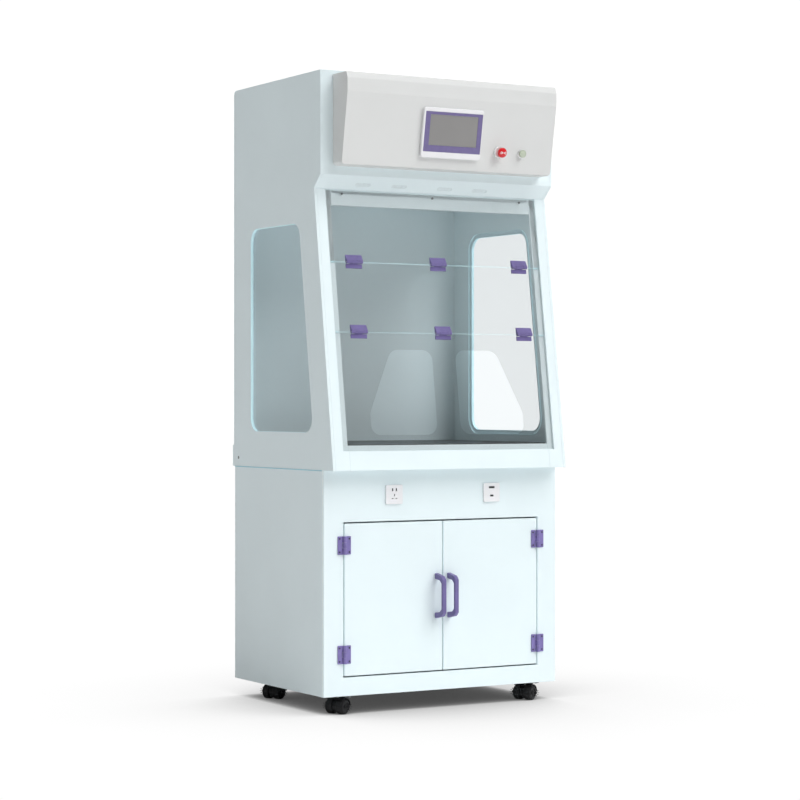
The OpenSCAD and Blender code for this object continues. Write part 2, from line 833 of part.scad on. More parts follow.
module pin_bore(r) {
    translate([-hinge_w, 0, pin_rise]) rotate([0, 90, 0]) cylinder(r = r, h = 2 * hinge_w);
}

// Upper leaf: a wedge that thickens towards the pin, with a knuckle at each end
module window_upper_leaf(bore) {
    clear = knuckle_r + knuckle_gap;
    wedge = [
        [0, 0], [hinge_up, 0], [hinge_up, leaf_t], [3, pin_rise + knuckle_r - 0.6], [0, pin_rise]
    ];
    difference() {
        union() {
            along_x(-hinge_w / 2, hinge_w / 2) polygon(wedge);
            for (s = [-1, 1]) {
                x = s < 0 ? -hinge_w / 2 : hinge_w / 2 - side_knuckle;
                window_knuckle(x, x + side_knuckle);
            }
        }
        translate([-hinge_w / 2 + side_knuckle, 0, pin_rise]) rotate([0, 90, 0])
            cylinder(r = clear, h = hinge_w - 2 * side_knuckle);
        block(-hinge_w / 2 + side_knuckle, hinge_w / 2 - side_knuckle, -clear, clear * 0.8, -1, pin_rise);
        pin_bore(bore);
    }
}

// Lower leaf: a flat plate with one knuckle in the middle
module window_lower_leaf(bore) {
    clear = knuckle_r + knuckle_gap;
    mid = hinge_w / 2 - side_knuckle - knuckle_gap;
    difference() {
        union() {
            block(-hinge_w / 2, hinge_w / 2, -hinge_down, -clear, 0, leaf_t + 1);
            block(-mid, mid, -clear - 1, -seam_gap / 2 - 0.5, 0, leaf_t + 1);
            block(-mid, mid, -knuckle_r, -seam_gap / 2 - 0.5, leaf_t, pin_rise);
            window_knuckle(-mid, mid);
        }
        pin_bore(bore);
    }
}

module upper_pane_leaves() {
    color(hinge_purple) at_window_hinges(upper_seam) window_upper_leaf(pin_r + pin_play);
}

// Leaves on both edges of the middle sash
module middle_sash_leaves() {
    color(hinge_purple) {
        at_window_hinges(upper_seam) window_lower_leaf(pin_r);
        at_window_hinges(lower_seam) window_upper_leaf(pin_r);
    }
}

module lower_sash_leaves() {
    color(hinge_purple) at_window_hinges(lower_seam) window_lower_leaf(pin_r + pin_play);
}

module sash_hinge_pins() {
    color(metal_grey) for (seam = [upper_seam, lower_seam]) at_window_hinges(seam)
        translate([-hinge_w / 2, 0, pin_rise]) rotate([0, 90, 0]) cylinder(r = pin_r, h = hinge_w);
}

// ---- Filter, fan and lamp -------------------------------------------------

ceiling_front = visor_y + sheet_t / cos(atan(visor_d / visor_h));

module chamber_ceiling() {
    slots = 11;
    rim = 20;
    pitch = (filter_d - 2 * rim) / slots;
    color(white_plastic) translate([0, 0, ceiling_z]) linear_extrude(sheet_t) difference() {
        polygon(box_outline(-inner_half, ceiling_front, inner_half, inner_back));
        for (i = [0:slots - 1], s = [-1, 1])
            translate([s * filter_w / 4, filter_y - filter_d / 2 + rim + pitch * (i + 0.5)])
                square([filter_w / 2 - 2 * rim, pitch * 0.6], center = true);
    }
}

lamp_l = 600;
lamp_d = 56;
lamp_h = 24;
lamp_y = filter_y - filter_d / 2 - lamp_d / 2;

module lamp_housing() {
    color("white") difference() {
        block(-lamp_l / 2, lamp_l / 2, lamp_y - lamp_d / 2, lamp_y + lamp_d / 2,
            ceiling_z - lamp_h, ceiling_z);
        block(-lamp_l / 2 + 3, lamp_l / 2 - 3, lamp_y - lamp_d / 2 + 3, lamp_y + lamp_d / 2 - 3,
            ceiling_z - lamp_h - 1, ceiling_z - 3);
    }
}

module lamp_diffuser() {
    play = 3.3;
    color([0.95, 0.98, 1, 0.7])
        block(-lamp_l / 2 + play, lamp_l / 2 - play, lamp_y - lamp_d / 2 + play,
            lamp_y + lamp_d / 2 - play, ceiling_z - lamp_h - 2, ceiling_z - lamp_h + 3);
}

module prefilter() {
    color("gainsboro")
        block(-filter_w / 2, filter_w / 2, filter_y - filter_d / 2, filter_y + filter_d / 2,
            ceiling_z + sheet_t, ceiling_z + sheet_t + prefilter_t);
}

module carbon_filter() {
    z0 = ceiling_z + sheet_t + prefilter_t;
    rim = 18;
    color("silver") difference() {
        block(-filter_w / 2, filter_w / 2, filter_y - filter_d / 2, filter_y + filter_d / 2,
            z0, z0 + carbon_t);
        for (z = [z0 - 1, z0 + carbon_t - 5])
            block(-filter_w / 2 + rim, filter_w / 2 - rim, filter_y - filter_d / 2 + rim,
                filter_y + filter_d / 2 - rim, z, z + 6);
    }
}

// Deck with the fan's inlet ring, and the bridge that carries the motor
module fan_deck() {
    leg_x = fan_r + 30;
    leg_w = 30;
    ring_h = impeller_z - deck_z + 8;
    color(metal_grey) difference() {
        union() {
            block(-inner_half, inner_half, hood_front + sheet_t, inner_back, deck_z, deck_z + deck_t);
            translate([0, filter_y, deck_z]) cylinder(r = inlet_r, h = ring_h);
            for (s = [-1, 1]) translate([s * leg_x, filter_y, deck_z])
                linear_extrude(bridge_z + 5 - deck_z) square([6, leg_w * 2], center = true);
            block(-leg_x, leg_x, filter_y - leg_w, filter_y + leg_w, bridge_z, bridge_z + 5);
        }
        translate([0, filter_y, deck_z - 1]) cylinder(r = inlet_r - 3, h = ring_h + 2);
        translate([0, filter_y, bridge_z - 1]) cylinder(r = 16, h = 7);
    }
}

module fan_motor() {
    color(metal_grey) translate([0, filter_y, motor_z]) {
        cylinder(r = motor_r, h = motor_h);
        translate([0, 0, motor_h]) cylinder(r = 15.5, h = 8);
        translate([0, 0, -impeller_h / 2]) cylinder(r = shaft_r, h = impeller_h / 2);
    }
}

// Backward-curved wheel, open towards the inlet ring below
module impeller() {
    blades = 9;
    plate_t = 3;
    blade_t = 3;
    eye_r = inlet_r + 4;
    color("dimgray") translate([0, filter_y, impeller_z]) difference() {
        union() {
            translate([0, 0, impeller_h - plate_t]) cylinder(r = fan_r, h = plate_t);
            difference() {
                cylinder(r = fan_r, h = plate_t);
                translate([0, 0, -1]) cylinder(r = eye_r, h = plate_t + 2);
            }
            translate([0, 0, impeller_h - 30]) cylinder(r = 18, h = 30);
            for (i = [0:blades - 1]) rotate([0, 0, i * 360 / blades]) translate([eye_r + 2, 0, 0])
                rotate([0, 0, -50]) translate([0, -blade_t / 2, 0]) cube([46, blade_t, impeller_h]);
        }
        translate([0, 0, -1]) cylinder(r = shaft_r + 0.05, h = impeller_h + 2);
    }
}

// Sheet-metal cover of the electronics, open where it stands on the upper front
module control_box() {
    box_w = 260;
    box_d = 70;
    box_h = 130;
    wall = 1.5;
    y = hood_front + sheet_t;
    z = deck_z + deck_t + 10;
    color(metal_grey) difference() {
        block(-box_w / 2, box_w / 2, y, y + box_d, z, z + box_h);
        block(wall - box_w / 2, box_w / 2 - wall, y - 1, y + box_d - wall, z + wall, z + box_h - wall);
    }
}

// ---- Control fascia -------------------------------------------------------

// The fascia's side outline in Y and Z, drawn in by i on every side but the back
function fascia_side(i) =
    let (
        lean = i / cos(fascia_lean),
        low = hood_front - fascia_low_reach + lean + i * tan(fascia_lean),
        top = hood_front - fascia_top_reach + i,
        crown = fascia_z1 - i,
        back = hood_front + (i > 0 ? 1 : 0)
    )
    rounded([
        [back, fascia_z0 + i], [low - i * tan(fascia_lean) * 2, fascia_z0 + i],
        [top, fascia_bend_z], [top, fascia_z1 - fascia_edge_h],
        [top + fascia_edge_d, crown], [back, crown]
    ], [0, 3, 12, 10, 6, 0], 6);

module fascia_body(i) {
    half = fascia_w / 2 - i;
    r = fascia_r - i;
    intersection() {
        along_x(-half, half) polygon(fascia_side(i));
        along_y(hood_front - fascia_top_reach - 1, hood_front + 2)
            polygon(rounded(box_outline(-half, fascia_z0 + i, half, fascia_z1 - i), [r, r, 0, 0], 8));
    }
}

hmi_body_w = hmi_w - 12;
hmi_body_h = hmi_h - 12;
button_hole_r = 11.2;

module fascia() {
    color(shell_grey) difference() {
        fascia_body(0);
        fascia_body(fascia_wall);
        on_fascia() {
            translate([hmi_x, hmi_mid, -10]) linear_extrude(20)
                square([hmi_body_w + 1, hmi_body_h + 1], center = true);
            for (x = [stop_button_x, start_button_x]) translate([x, button_mid, -10])
                cylinder(r = button_hole_r, h = 20);
        }
    }
}

hmi_proud = 12;
hmi_x = -2.5;
rim_left = 7;
rim_right = 4;
rim_top = 13.5;
rim_low = 20.5;

module at_hmi(z) on_fascia() translate([hmi_x, hmi_mid, z]) children();

function bezel_outline(play) =
    box_outline(rim_left + play - hmi_w / 2, rim_low + play - hmi_h / 2,
        hmi_w / 2 - rim_right - play, hmi_h / 2 - rim_top - play);

// White surround of the touch panel, with its body behind the fascia
module hmi_frame() {
    x = hmi_w / 2;
    y = hmi_h / 2;
    color("white") at_hmi(0) difference() {
        union() {
            linear_extrude(hmi_proud - 4) polygon(rounded(box_outline(-x, -y, x, y), [9, 9, 9, 9], 6));
            translate([0, 0, hmi_proud - 4]) linear_extrude(4)
                polygon(rounded(box_outline(1.5 - x, 4 - y, x - 1.5, y - 4), [8, 8, 8, 8], 6));
            translate([0, 0, -38]) linear_extrude(39) square([hmi_body_w, hmi_body_h], center = true);
        }
        translate([0, 0, hmi_proud - 3]) linear_extrude(4) polygon(bezel_outline(0));
    }
}

screen_side = 19;
screen_x0 = rim_left + screen_side - hmi_w / 2;
screen_x1 = hmi_w / 2 - rim_right - screen_side + 2;
screen_z0 = rim_low + 21.5 - hmi_h / 2;
screen_z1 = hmi_h / 2 - rim_top - 9.5;

function screen_outline(play) =
    box_outline(screen_x0 + play, screen_z0 + play, screen_x1 - play, screen_z1 - play);

module hmi_bezel() {
    color([0.47, 0.43, 0.61]) at_hmi(hmi_proud - 3) linear_extrude(2.2) difference() {
        polygon(bezel_outline(0.1));
        polygon(screen_outline(0));
    }
}

module hmi_screen() {
    color([0.55, 0.55, 0.55]) at_hmi(hmi_proud - 3) linear_extrude(1.6) polygon(screen_outline(0.1));
}

collar_r = 20;
start_collar_r = 14.7;
stop_r = 16.5;
start_r = 12.8;

module button_collar(x, r, h) {
    on_fascia() translate([x, button_mid, 0]) difference() {
        union() {
            cylinder(r = r, h = h);
            translate([0, 0, -32]) cylinder(r = button_hole_r - 0.2, h = 33);
        }
        translate([0, 0, -26]) cylinder(r = 8.06, h = 60);
    }
}

module button_collars() {
    color("silver") {
        button_collar(stop_button_x, collar_r, 9);
        button_collar(start_button_x, start_collar_r, 5);
    }
}

// Mushroom head on its plunger
module stop_button() {
    color("red") on_fascia() translate([stop_button_x, button_mid, 0]) rotate_extrude() polygon(concat(
        [[0, -18], [8, -18], [8, 16], [stop_r - 3, 16], [stop_r, 19], [stop_r, 24]],
        [for (i = [1:6]) [stop_r * cos(i * 15), 24 + 7 * sin(i * 15)]]
    ));
}

module start_button() {
    color([0.66, 0.75, 0.60]) on_fascia() translate([start_button_x, button_mid, 0])
        rotate_extrude() polygon([
            [0, -18], [8, -18], [8, 8.5], [start_r, 8.5], [start_r, 12.5], [start_r - 1.5, 14], [0, 14]
        ]);
}

// ---- Which sub-part to draw -----------------------------------------------

cabinet_sides();
cabinet_back();
cabinet_floor();
face_frame();
shelf();
shelf_pins();
frame_hinge_leaves();
door_hinge_pins();
socket_plates();
caster_plates();
left_door();
right_door();
left_handle();
right_handle();
left_door_leaves();
right_door_leaves();
front_left_fork();
front_right_fork();
rear_left_fork();
rear_right_fork();
front_left_wheels();
front_right_wheels();
rear_left_wheels();
rear_right_wheels();
hood_sides();
side_panes();
hood_back();
hood_floor();
roof_panel();
exhaust_grille();
visor_panel();
worktop();
window_uprights();
header_rail();
bottom_rail();
upper_pane();
upper_pane_leaves();
case_screws();
middle_sash();
middle_sash_leaves();
sash_hinge_pins();
lower_sash();
lower_sash_leaves();
chamber_ceiling();
lamp_housing();
lamp_diffuser();
prefilter();
carbon_filter();
fan_deck();
fan_motor();
impeller();
control_box();
fascia();
hmi_frame();
hmi_bezel();
hmi_screen();
button_collars();
stop_button();
start_button();
power_inlet();
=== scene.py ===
"""Filtered fume hood on a two-door cabinet: finished pieces and materials round the fixed frame."""

import json
import math

import bmesh
import bpy
from bpy.props import FloatProperty, FloatVectorProperty, IntProperty, PointerProperty
from mathutils import Matrix, Vector


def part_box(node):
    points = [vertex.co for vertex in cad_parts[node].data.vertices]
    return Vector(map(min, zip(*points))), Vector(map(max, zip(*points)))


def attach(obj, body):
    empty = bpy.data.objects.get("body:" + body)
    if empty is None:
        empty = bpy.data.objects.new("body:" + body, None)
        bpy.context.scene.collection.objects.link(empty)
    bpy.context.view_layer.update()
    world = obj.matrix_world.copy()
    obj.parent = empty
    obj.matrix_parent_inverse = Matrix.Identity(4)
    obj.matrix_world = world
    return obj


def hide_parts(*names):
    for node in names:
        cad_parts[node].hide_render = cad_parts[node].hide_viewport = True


bl_info = {
    "name": "Fume hood builder",
    "version": (1, 0, 0),
    "blender": (4, 5, 0),
    "location": "View3D > Sidebar > Fume hood",
    "description": "Builds the finished pieces of a filtered fume hood round its fixed frame",
    "category": "Object",
}

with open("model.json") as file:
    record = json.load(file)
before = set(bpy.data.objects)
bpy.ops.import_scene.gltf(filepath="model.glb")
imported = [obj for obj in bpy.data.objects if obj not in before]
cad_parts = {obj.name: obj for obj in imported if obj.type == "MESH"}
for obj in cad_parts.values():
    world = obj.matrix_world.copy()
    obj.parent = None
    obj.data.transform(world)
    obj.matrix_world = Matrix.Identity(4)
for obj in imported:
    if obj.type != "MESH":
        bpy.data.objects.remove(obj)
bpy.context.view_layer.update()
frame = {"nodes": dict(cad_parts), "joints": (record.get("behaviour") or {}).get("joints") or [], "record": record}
NODES = frame["nodes"]
JOINTS = {j["name"]: j for j in frame["joints"]}
BODY_OF = {n: b for b, names in frame["record"]["behaviour"]["bodies"].items() for n in names}

MM = 0.001
WELD = 0.01 * MM
CORNERS = ("front_left", "front_right", "rear_left", "rear_right")
DOORS = ("left_door", "right_door")
SASHES = ("upper_pane", "middle_sash", "lower_sash")


# ---- Sizes and colours that a user would change ---------------------------------


def size(name, description, millimetres):
    return FloatProperty(name=name, description=description, default=millimetres * MM, min=0.0,
                         unit="LENGTH", subtype="DISTANCE", precision=5)


def colour(name, description, default):
    return FloatVectorProperty(name=name, description=description, default=default, size=3,
                               min=0.0, max=1.0, subtype="COLOR")


class HoodSizes(bpy.types.PropertyGroup):
    """Small sizes of the finish, which the frame leaves open."""

    sheet_edge: size("Sheet edge", "Rounding of the plastic sheets' sawn edges", 1.1)
    mould_edge: size("Moulded edge", "Rounding of the moulded plastic pieces", 1.4)
    grip_edge: size("Grip edge", "Rounding of the door handles", 3.2)
    fine_edge: size("Fine edge", "Rounding of small pieces and pane edges", 0.4)
    bead: size("Weld bead", "Radius of the welds in the corners between sheets", 2.4)
    seal: size("Seal", "Radius of the seal between hood and cabinet", 1.6)
    hinge_screw: size("Hinge screw", "Radius of the screw heads on the door hinges", 2.9)
    case_screw: size("Case screw", "Radius of the screw heads on the hood", 3.8)
    slat_pitch: size("Slat pitch", "Distance between the slats of the exhaust grille", 17.0)
    turn_sides: IntProperty(name="Turned sides", description="Sides of a turned piece", default=56, min=12)


class HoodColours(bpy.types.PropertyGroup):
    """Base colours of the finishes."""

    sheet: colour("Sheet", "Pale blue-white polypropylene", (0.82, 0.925, 0.952))
    shell: colour("Fascia", "Light grey fascia shell", (0.715, 0.725, 0.72))
    purple: colour("Hinges", "Moulded purple plastic", (0.165, 0.135, 0.33))
    pane: colour("Panes", "Share of light that one face of a front pane lets through",
                 (0.928, 0.930, 0.930))
    side_pane: colour("Side panes", "Share of light that one face of a side pane lets through",
                      (0.968, 0.986, 0.992))
    pane_edge: colour("Pane edges", "Bright sawn edges of the panes", (0.66, 0.86, 0.89))
    worktop: colour("Worktop", "Dark chemical-resistant slab", (0.050, 0.056, 0.058))
    caster: colour("Casters", "Black nylon", (0.007, 0.007, 0.008))
    screen: colour("Screen", "Touch screen that is switched off", (0.23, 0.225, 0.222))
    bezel: colour("Bezel", "Border of the touch screen", (0.155, 0.125, 0.30))
    stop: colour("Stop button", "Red mushroom head", (0.70, 0.012, 0.018))
    start: colour("Start button", "Pale green lens", (0.50, 0.56, 0.44))


def sizes():
    return bpy.context.scene.hood_sizes


def colours():
    return bpy.context.scene.hood_colours


# ---- Materials ------------------------------------------------------------------


def add_node(tree, kind, **values):
    """A new node with these inputs set; an underscore in a name stands for a space."""
    node = tree.nodes.new(kind)
    for label, value in values.items():
        node.inputs[label.replace("_", " ")].default_value = value
    return node


def wire(tree, *links):
    """Links nodes: each link is (node, output, node, input)."""
    for start, output, end, entry in links:
        tree.links.new(start.outputs[output], end.inputs[entry])


class Finish:
    """A Principled material whose patterns read object coordinates."""

    def __init__(self, name, base, roughness, **fixed):
        self.material = bpy.data.materials.new(name)
        self.material.use_nodes = True
        self.tree = self.material.node_tree
        self.shader = self.tree.nodes["Principled BSDF"]
        self.base = tuple(base)
        self.roughness = roughness
        self.place = self.tree.nodes.new("ShaderNodeTexCoord").outputs["Object"]
        self.heights = []
        self.shader.inputs["Base Color"].default_value = (*self.base, 1.0)
        self.shader.inputs["Roughness"].default_value = roughness
        for label, value in fixed.items():
            self.shader.inputs[label.replace("_", " ")].default_value = value

    def link(self, start, end):
        self.tree.links.new(start, end)

    def noise(self, per_metre, detail=2.0, stretch=(1.0, 1.0, 1.0)):
        """Noise with about per_metre cells in a metre, squeezed along each axis by stretch."""
        mapping = add_node(self.tree, "ShaderNodeMapping", Scale=stretch)
        self.link(self.place, mapping.inputs["Vector"])
        texture = add_node(self.tree, "ShaderNodeTexNoise", Scale=per_metre, Detail=detail)
        self.link(mapping.outputs["Vector"], texture.inputs["Vector"])
        return texture.outputs["Fac"]

    def cells(self, per_metre):
        """Distance to the nearest of scattered points, for speckles and moulded grain."""
        texture = add_node(self.tree, "ShaderNodeTexVoronoi", Scale=per_metre)
        self.link(self.place, texture.inputs["Vector"])
        return texture.outputs["Distance"]

    def shade(self, value, spread, low=0.3, high=0.7):
        """Lets the base colour range from 1 - spread to 1 + spread as value goes from low to high."""
        ramp = self.tree.nodes.new("ShaderNodeValToRGB")
        ramp.color_ramp.elements[0].position = low
        ramp.color_ramp.elements[1].position = high
        ramp.color_ramp.elements[0].color = (*[c * (1 - spread) for c in self.base], 1.0)
        ramp.color_ramp.elements[1].color = (*[min(1.0, c * (1 + spread)) for c in self.base], 1.0)
        self.link(value, ramp.inputs["Fac"])
        self.link(ramp.outputs["Color"], self.shader.inputs["Base Color"])
        return self

    def gloss(self, value, spread):
        """Lets the roughness range by spread either way."""
        scale = add_node(self.tree, "ShaderNodeMapRange",
                         From_Min=0.3, From_Max=0.7, To_Min=self.roughness - spread,
                         To_Max=self.roughness + spread)
        self.link(value, scale.inputs["Value"])
        self.link(scale.outputs["Result"], self.shader.inputs["Roughness"])
        return self

    def bump(self, value, depth, strength=1.0):
        """Adds a relief of that depth in metres on top of the ones before it."""
        node = add_node(self.tree, "ShaderNodeBump", Strength=strength, Distance=depth)
        self.link(value, node.inputs["Height"])
        if self.heights:
            self.link(self.heights[-1].outputs["Normal"], node.inputs["Normal"])
        self.heights.append(node)
        self.link(node.outputs["Normal"], self.shader.inputs["Normal"])
        return self


def speckled(name, base, roughness, mottle, relief, **fixed):
    """A finish with mottling and a fine relief of noise.

    mottle is (cells in a metre, detail, spread), relief (cells in a metre, detail, millimetres,
    strength).
    """
    finish = Finish(name, base, roughness, **fixed)
    per_metre, detail, spread = mottle
    finish.shade(finish.noise(per_metre, detail), spread)
    per_metre, detail, depth, strength = relief
    return finish.bump(finish.noise(per_metre, detail), depth * MM, strength).material


def sheet_plastic():
    """Extruded polypropylene sheet: satin, faintly wavy, with a fine pebble from the rollers."""
    finish = Finish("sheet_plastic", colours().sheet, 0.40, Specular_IOR_Level=0.42)
    finish.shade(finish.noise(5, 3), 0.012).gloss(finish.noise(22, 3), 0.05)
    finish.bump(finish.noise(7, 1, (1, 1, 0.35)), 1.2 * MM, 0.10)
    return finish.bump(finish.noise(1500, 2), 0.05 * MM, 0.25).material


def sawn_sheet():
    """The sheets' cut ends, a little rougher than their faces and lined by the saw."""
    finish = Finish("sawn_sheet", [c * 0.99 for c in colours().sheet], 0.50)
    finish.shade(finish.noise(30, 2), 0.02)
    return finish.bump(finish.noise(900, 1, (0.12, 1, 1)), 0.08 * MM, 0.4).material


def weld_plastic():
    return speckled("weld_plastic", [c * 0.95 for c in colours().sheet], 0.34,
                    (80, 2, 0.03), (160, 2, 0.7, 0.6))


def shell_plastic():
    """Fascia moulding with a fine spark-eroded grain."""
    finish = Finish("shell_plastic", colours().shell, 0.47, Specular_IOR_Level=0.45)
    finish.shade(finish.noise(4, 3), 0.010).gloss(finish.noise(40, 2), 0.03)
    return finish.bump(finish.cells(1400), 0.05 * MM, 0.35).material


def grained_nylon(name, base, roughness):
    """Glass-filled nylon with moulded grain and slightly polished high spots."""
    finish = Finish(name, base, roughness)
    finish.shade(finish.noise(45, 4), 0.09).gloss(finish.noise(120, 3), 0.07)
    return finish.bump(finish.cells(1100), 0.06 * MM, 0.5).material


def purple_plastic():
    return grained_nylon("purple_plastic", colours().purple, 0.42)


def hinge_plastic():
    """The same nylon on the door hinges, made paler as a painted highlight for the light that their raised middles
    catch.
    """
    return grained_nylon("hinge_plastic", [c * 1.3 for c in colours().purple], 0.40)


def clear_acrylic(name="clear_acrylic", tint=None):
    """A thin clear pane: it lets tinted light straight through and mirrors a little on its outer side."""
    material = bpy.data.materials.new(name)
    material.use_nodes = True
    tree = material.node_tree
    tree.nodes.clear()
    out = tree.nodes.new("ShaderNodeOutputMaterial")
    through = add_node(tree, "ShaderNodeBsdfTransparent", Color=(*(tint or colours().pane), 1.0))
    mirror = add_node(tree, "ShaderNodeBsdfGlossy", Roughness=0.03)
    fresnel = add_node(tree, "ShaderNodeFresnel", IOR=1.49)
    side = tree.nodes.new("ShaderNodeNewGeometry")
    outer = tree.nodes.new("ShaderNodeMath")
    outer.operation = "SUBTRACT"
    outer.inputs[0].default_value = 1.0
    wire(tree, (side, "Backfacing", outer, 1))
    share = tree.nodes.new("ShaderNodeMath")
    share.operation = "MULTIPLY"
    wire(tree, (fresnel, "Fac", share, 0), (outer, "Value", share, 1))
    mix = tree.nodes.new("ShaderNodeMixShader")
    wire(tree, (share, "Value", mix, 0), (through, "BSDF", mix, 1), (mirror, "BSDF", mix, 2),
         (mix, "Shader", out, "Surface"))
    return material


def side_acrylic():
    return clear_acrylic("side_acrylic", tuple(colours().side_pane))


def acrylic_edge():
    """Polished edge of a clear pane, pale cyan, with a painted glow that stands in for the light that it gathers.
    """
    finish = Finish("acrylic_edge", colours().pane_edge, 0.22, Coat_Weight=0.4,
                    Emission_Color=(0.72, 0.93, 1.0, 1.0), Emission_Strength=0.22)
    finish.shade(finish.noise(60, 2), 0.03)
    return finish.bump(finish.noise(700, 1, (1, 1, 0.1)), 0.03 * MM, 0.3).material


def worktop_slab():
    finish = Finish("worktop_slab", colours().worktop, 0.40)
    finish.shade(finish.cells(420), 0.30, 0.1, 0.6).gloss(finish.noise(18, 3), 0.08)
    return finish.bump(finish.noise(800, 3), 0.05 * MM, 0.4).material


def black_nylon():
    finish = Finish("black_nylon", colours().caster, 0.38, Specular_IOR_Level=0.22)
    finish.shade(finish.noise(60, 3), 0.25).gloss(finish.noise(150, 3), 0.08)
    return finish.bump(finish.cells(1500), 0.04 * MM, 0.4).material


def wheel_tread():
    return speckled("wheel_tread", (0.010, 0.010, 0.011), 0.62, (200, 3, 0.25), (900, 3, 0.12, 0.6),
                    Specular_IOR_Level=0.25)


def brushed_steel():
    finish = Finish("brushed_steel", (0.56, 0.565, 0.575), 0.32, Metallic=1.0)
    finish.shade(finish.noise(300, 2, (1, 1, 0.05)), 0.06).gloss(finish.noise(500, 2, (1, 1, 0.04)), 0.08)
    return finish.bump(finish.noise(1200, 1, (1, 1, 0.03)), 0.02 * MM, 0.3).material


def dark_steel():
    """Blackened screws."""
    return speckled("dark_steel", (0.060, 0.055, 0.075), 0.36, (400, 2, 0.2), (1500, 2, 0.03, 0.3),
                    Metallic=0.6)


def grey_screw():
    return speckled("grey_screw", (0.20, 0.215, 0.22), 0.42, (400, 2, 0.15), (1500, 2, 0.03, 0.3),
                    Metallic=0.3)


def lit_reveal():
    """Sawn inside of a window cut-out, pale cyan with a painted glow that stands in for light through the clear
    pane behind it.
    """
    return speckled("lit_reveal", (0.66, 0.90, 0.96), 0.5, (40, 2, 0.03), (900, 2, 0.05, 0.3),
                    Emission_Color=(0.55, 0.88, 1.0, 1.0), Emission_Strength=0.20)


def joint_seal():
    """Pale blue seal in the joint between hood and cabinet."""
    return speckled("joint_seal", (0.36, 0.66, 0.76), 0.45, (60, 2, 0.05), (300, 2, 0.1, 0.3))


def bright_plating():
    finish = Finish("bright_plating", (0.88, 0.885, 0.89), 0.22, Metallic=0.25)
    return finish.gloss(finish.noise(250, 3), 0.05).bump(finish.noise(600, 2), 0.015 * MM, 0.2).material


def gloss_white():
    """Glossy white moulding of the sockets and of the touch panel's surround."""
    return speckled("gloss_white", (0.86, 0.86, 0.88), 0.20, (25, 2, 0.01), (90, 1, 0.06, 0.12),
                    Coat_Weight=0.3)


def bezel_film():
    return speckled("bezel_film", colours().bezel, 0.28, (70, 3, 0.05), (500, 2, 0.02, 0.3),
                    Coat_Weight=0.5)


def screen_glass():
    """Switched-off screen under a coated glass."""
    return speckled("screen_glass", colours().screen, 0.30, (9, 2, 0.03), (12, 1, 0.05, 0.05),
                    Coat_Weight=1.0)


def socket_gap():
    """Grey painted shade on the faces inside the sockets' slots."""
    return speckled("socket_gap", (0.17, 0.17, 0.175), 0.5, (300, 2, 0.2), (600, 2, 0.05, 0.3))


def vent_shadow():
    """Shaded bottoms of the vents in the visor."""
    return speckled("vent_shadow", [c * 0.90 for c in colours().sheet], 0.5,
                    (120, 2, 0.05), (900, 2, 0.05, 0.3))


def gap_edge():
    """Sawn edges of the doors and their frame, with a faint painted glow that stands in for light through the
    sheet at the gap.
    """
    return speckled("gap_edge", colours().sheet, 0.5, (60, 3, 0.04), (900, 2, 0.06, 0.4),
                    Emission_Color=(0.82, 0.93, 0.95, 1.0), Emission_Strength=0.09)


def stop_red():
    return speckled("stop_red", colours().stop, 0.24, (90, 3, 0.04), (700, 2, 0.02, 0.25),
                    Coat_Weight=0.4)


def mark_white():
    return speckled("mark_white", (0.86, 0.78, 0.78), 0.4, (300, 2, 0.04), (900, 2, 0.02, 0.3))


def start_lens():
    finish = Finish("start_lens", colours().start, 0.22, Coat_Weight=0.6)
    return finish.shade(finish.noise(120, 3), 0.06).bump(finish.cells(900), 0.05 * MM, 0.4).material


def lamp_lens():
    """Opal diffuser with fine prisms along it."""
    finish = Finish("lamp_lens", (0.86, 0.90, 0.92), 0.35, Emission_Strength=2.6)
    finish.shade(finish.noise(20, 2), 0.02)
    return finish.bump(finish.noise(400, 0, (0.01, 1, 1)), 0.5 * MM, 0.5).material


def enamel():
    return speckled("enamel", (0.80, 0.81, 0.81), 0.28, (30, 3, 0.02), (260, 3, 0.06, 0.25))


def fleece():
    """Needled filter fleece."""
    return speckled("fleece", (0.72, 0.73, 0.71), 0.95, (500, 4, 0.14), (700, 4, 0.8, 0.9),
                    Sheen_Weight=0.4)


def cassette():
    """Filter cassette with granules behind a fine grid."""
    finish = Finish("cassette", (0.34, 0.345, 0.35), 0.5)
    finish.shade(finish.cells(260), 0.5, 0.1, 0.5)
    return finish.bump(finish.cells(260), 1.2 * MM, 0.7).material


def fan_nylon():
    finish = Finish("fan_nylon", (0.035, 0.036, 0.038), 0.5)
    return finish.shade(finish.noise(90, 3), 0.2).bump(finish.cells(900), 0.06 * MM, 0.5).material


def inlet_black():
    finish = Finish("inlet_black", (0.018, 0.018, 0.019), 0.38)
    return finish.shade(finish.noise(150, 3), 0.2).bump(finish.cells(1300), 0.05 * MM, 0.4).material


MADE = {}


def finish_of(maker):
    """The material that maker makes, made once."""
    if maker not in MADE:
        MADE[maker] = maker()
    return MADE[maker]


# ---- Mesh helpers ---------------------------------------------------------------


def cad_mesh(name):
    """A bmesh copy of a CAD node, with its loose triangles merged."""
    bm = bmesh.new()
    bm.from_mesh(NODES[name].data)
    bmesh.ops.remove_doubles(bm, verts=bm.verts, dist=WELD)
    return bm


def islands(name, basis=Matrix()):
    """(low, high) corners of each separate solid of a CAD node, in the axes of basis, by x then z."""
    bm = cad_mesh(name)
    to_local = basis.inverted()
    left, found = set(bm.verts), []
    while left:
        stack = [left.pop()]
        group = list(stack)
        while stack:
            for edge in stack.pop().link_edges:
                for v in edge.verts:
                    if v in left:
                        left.discard(v)
                        stack.append(v)
                        group.append(v)
        points = [to_local @ v.co for v in group]
        found.append(tuple(Vector(f(p[i] for p in points) for i in range(3)) for f in (min, max)))
    bm.free()
    return sorted(found, key=lambda box: (round(box[0].x, 4), round(box[0].z, 4), round(box[0].y, 4)))


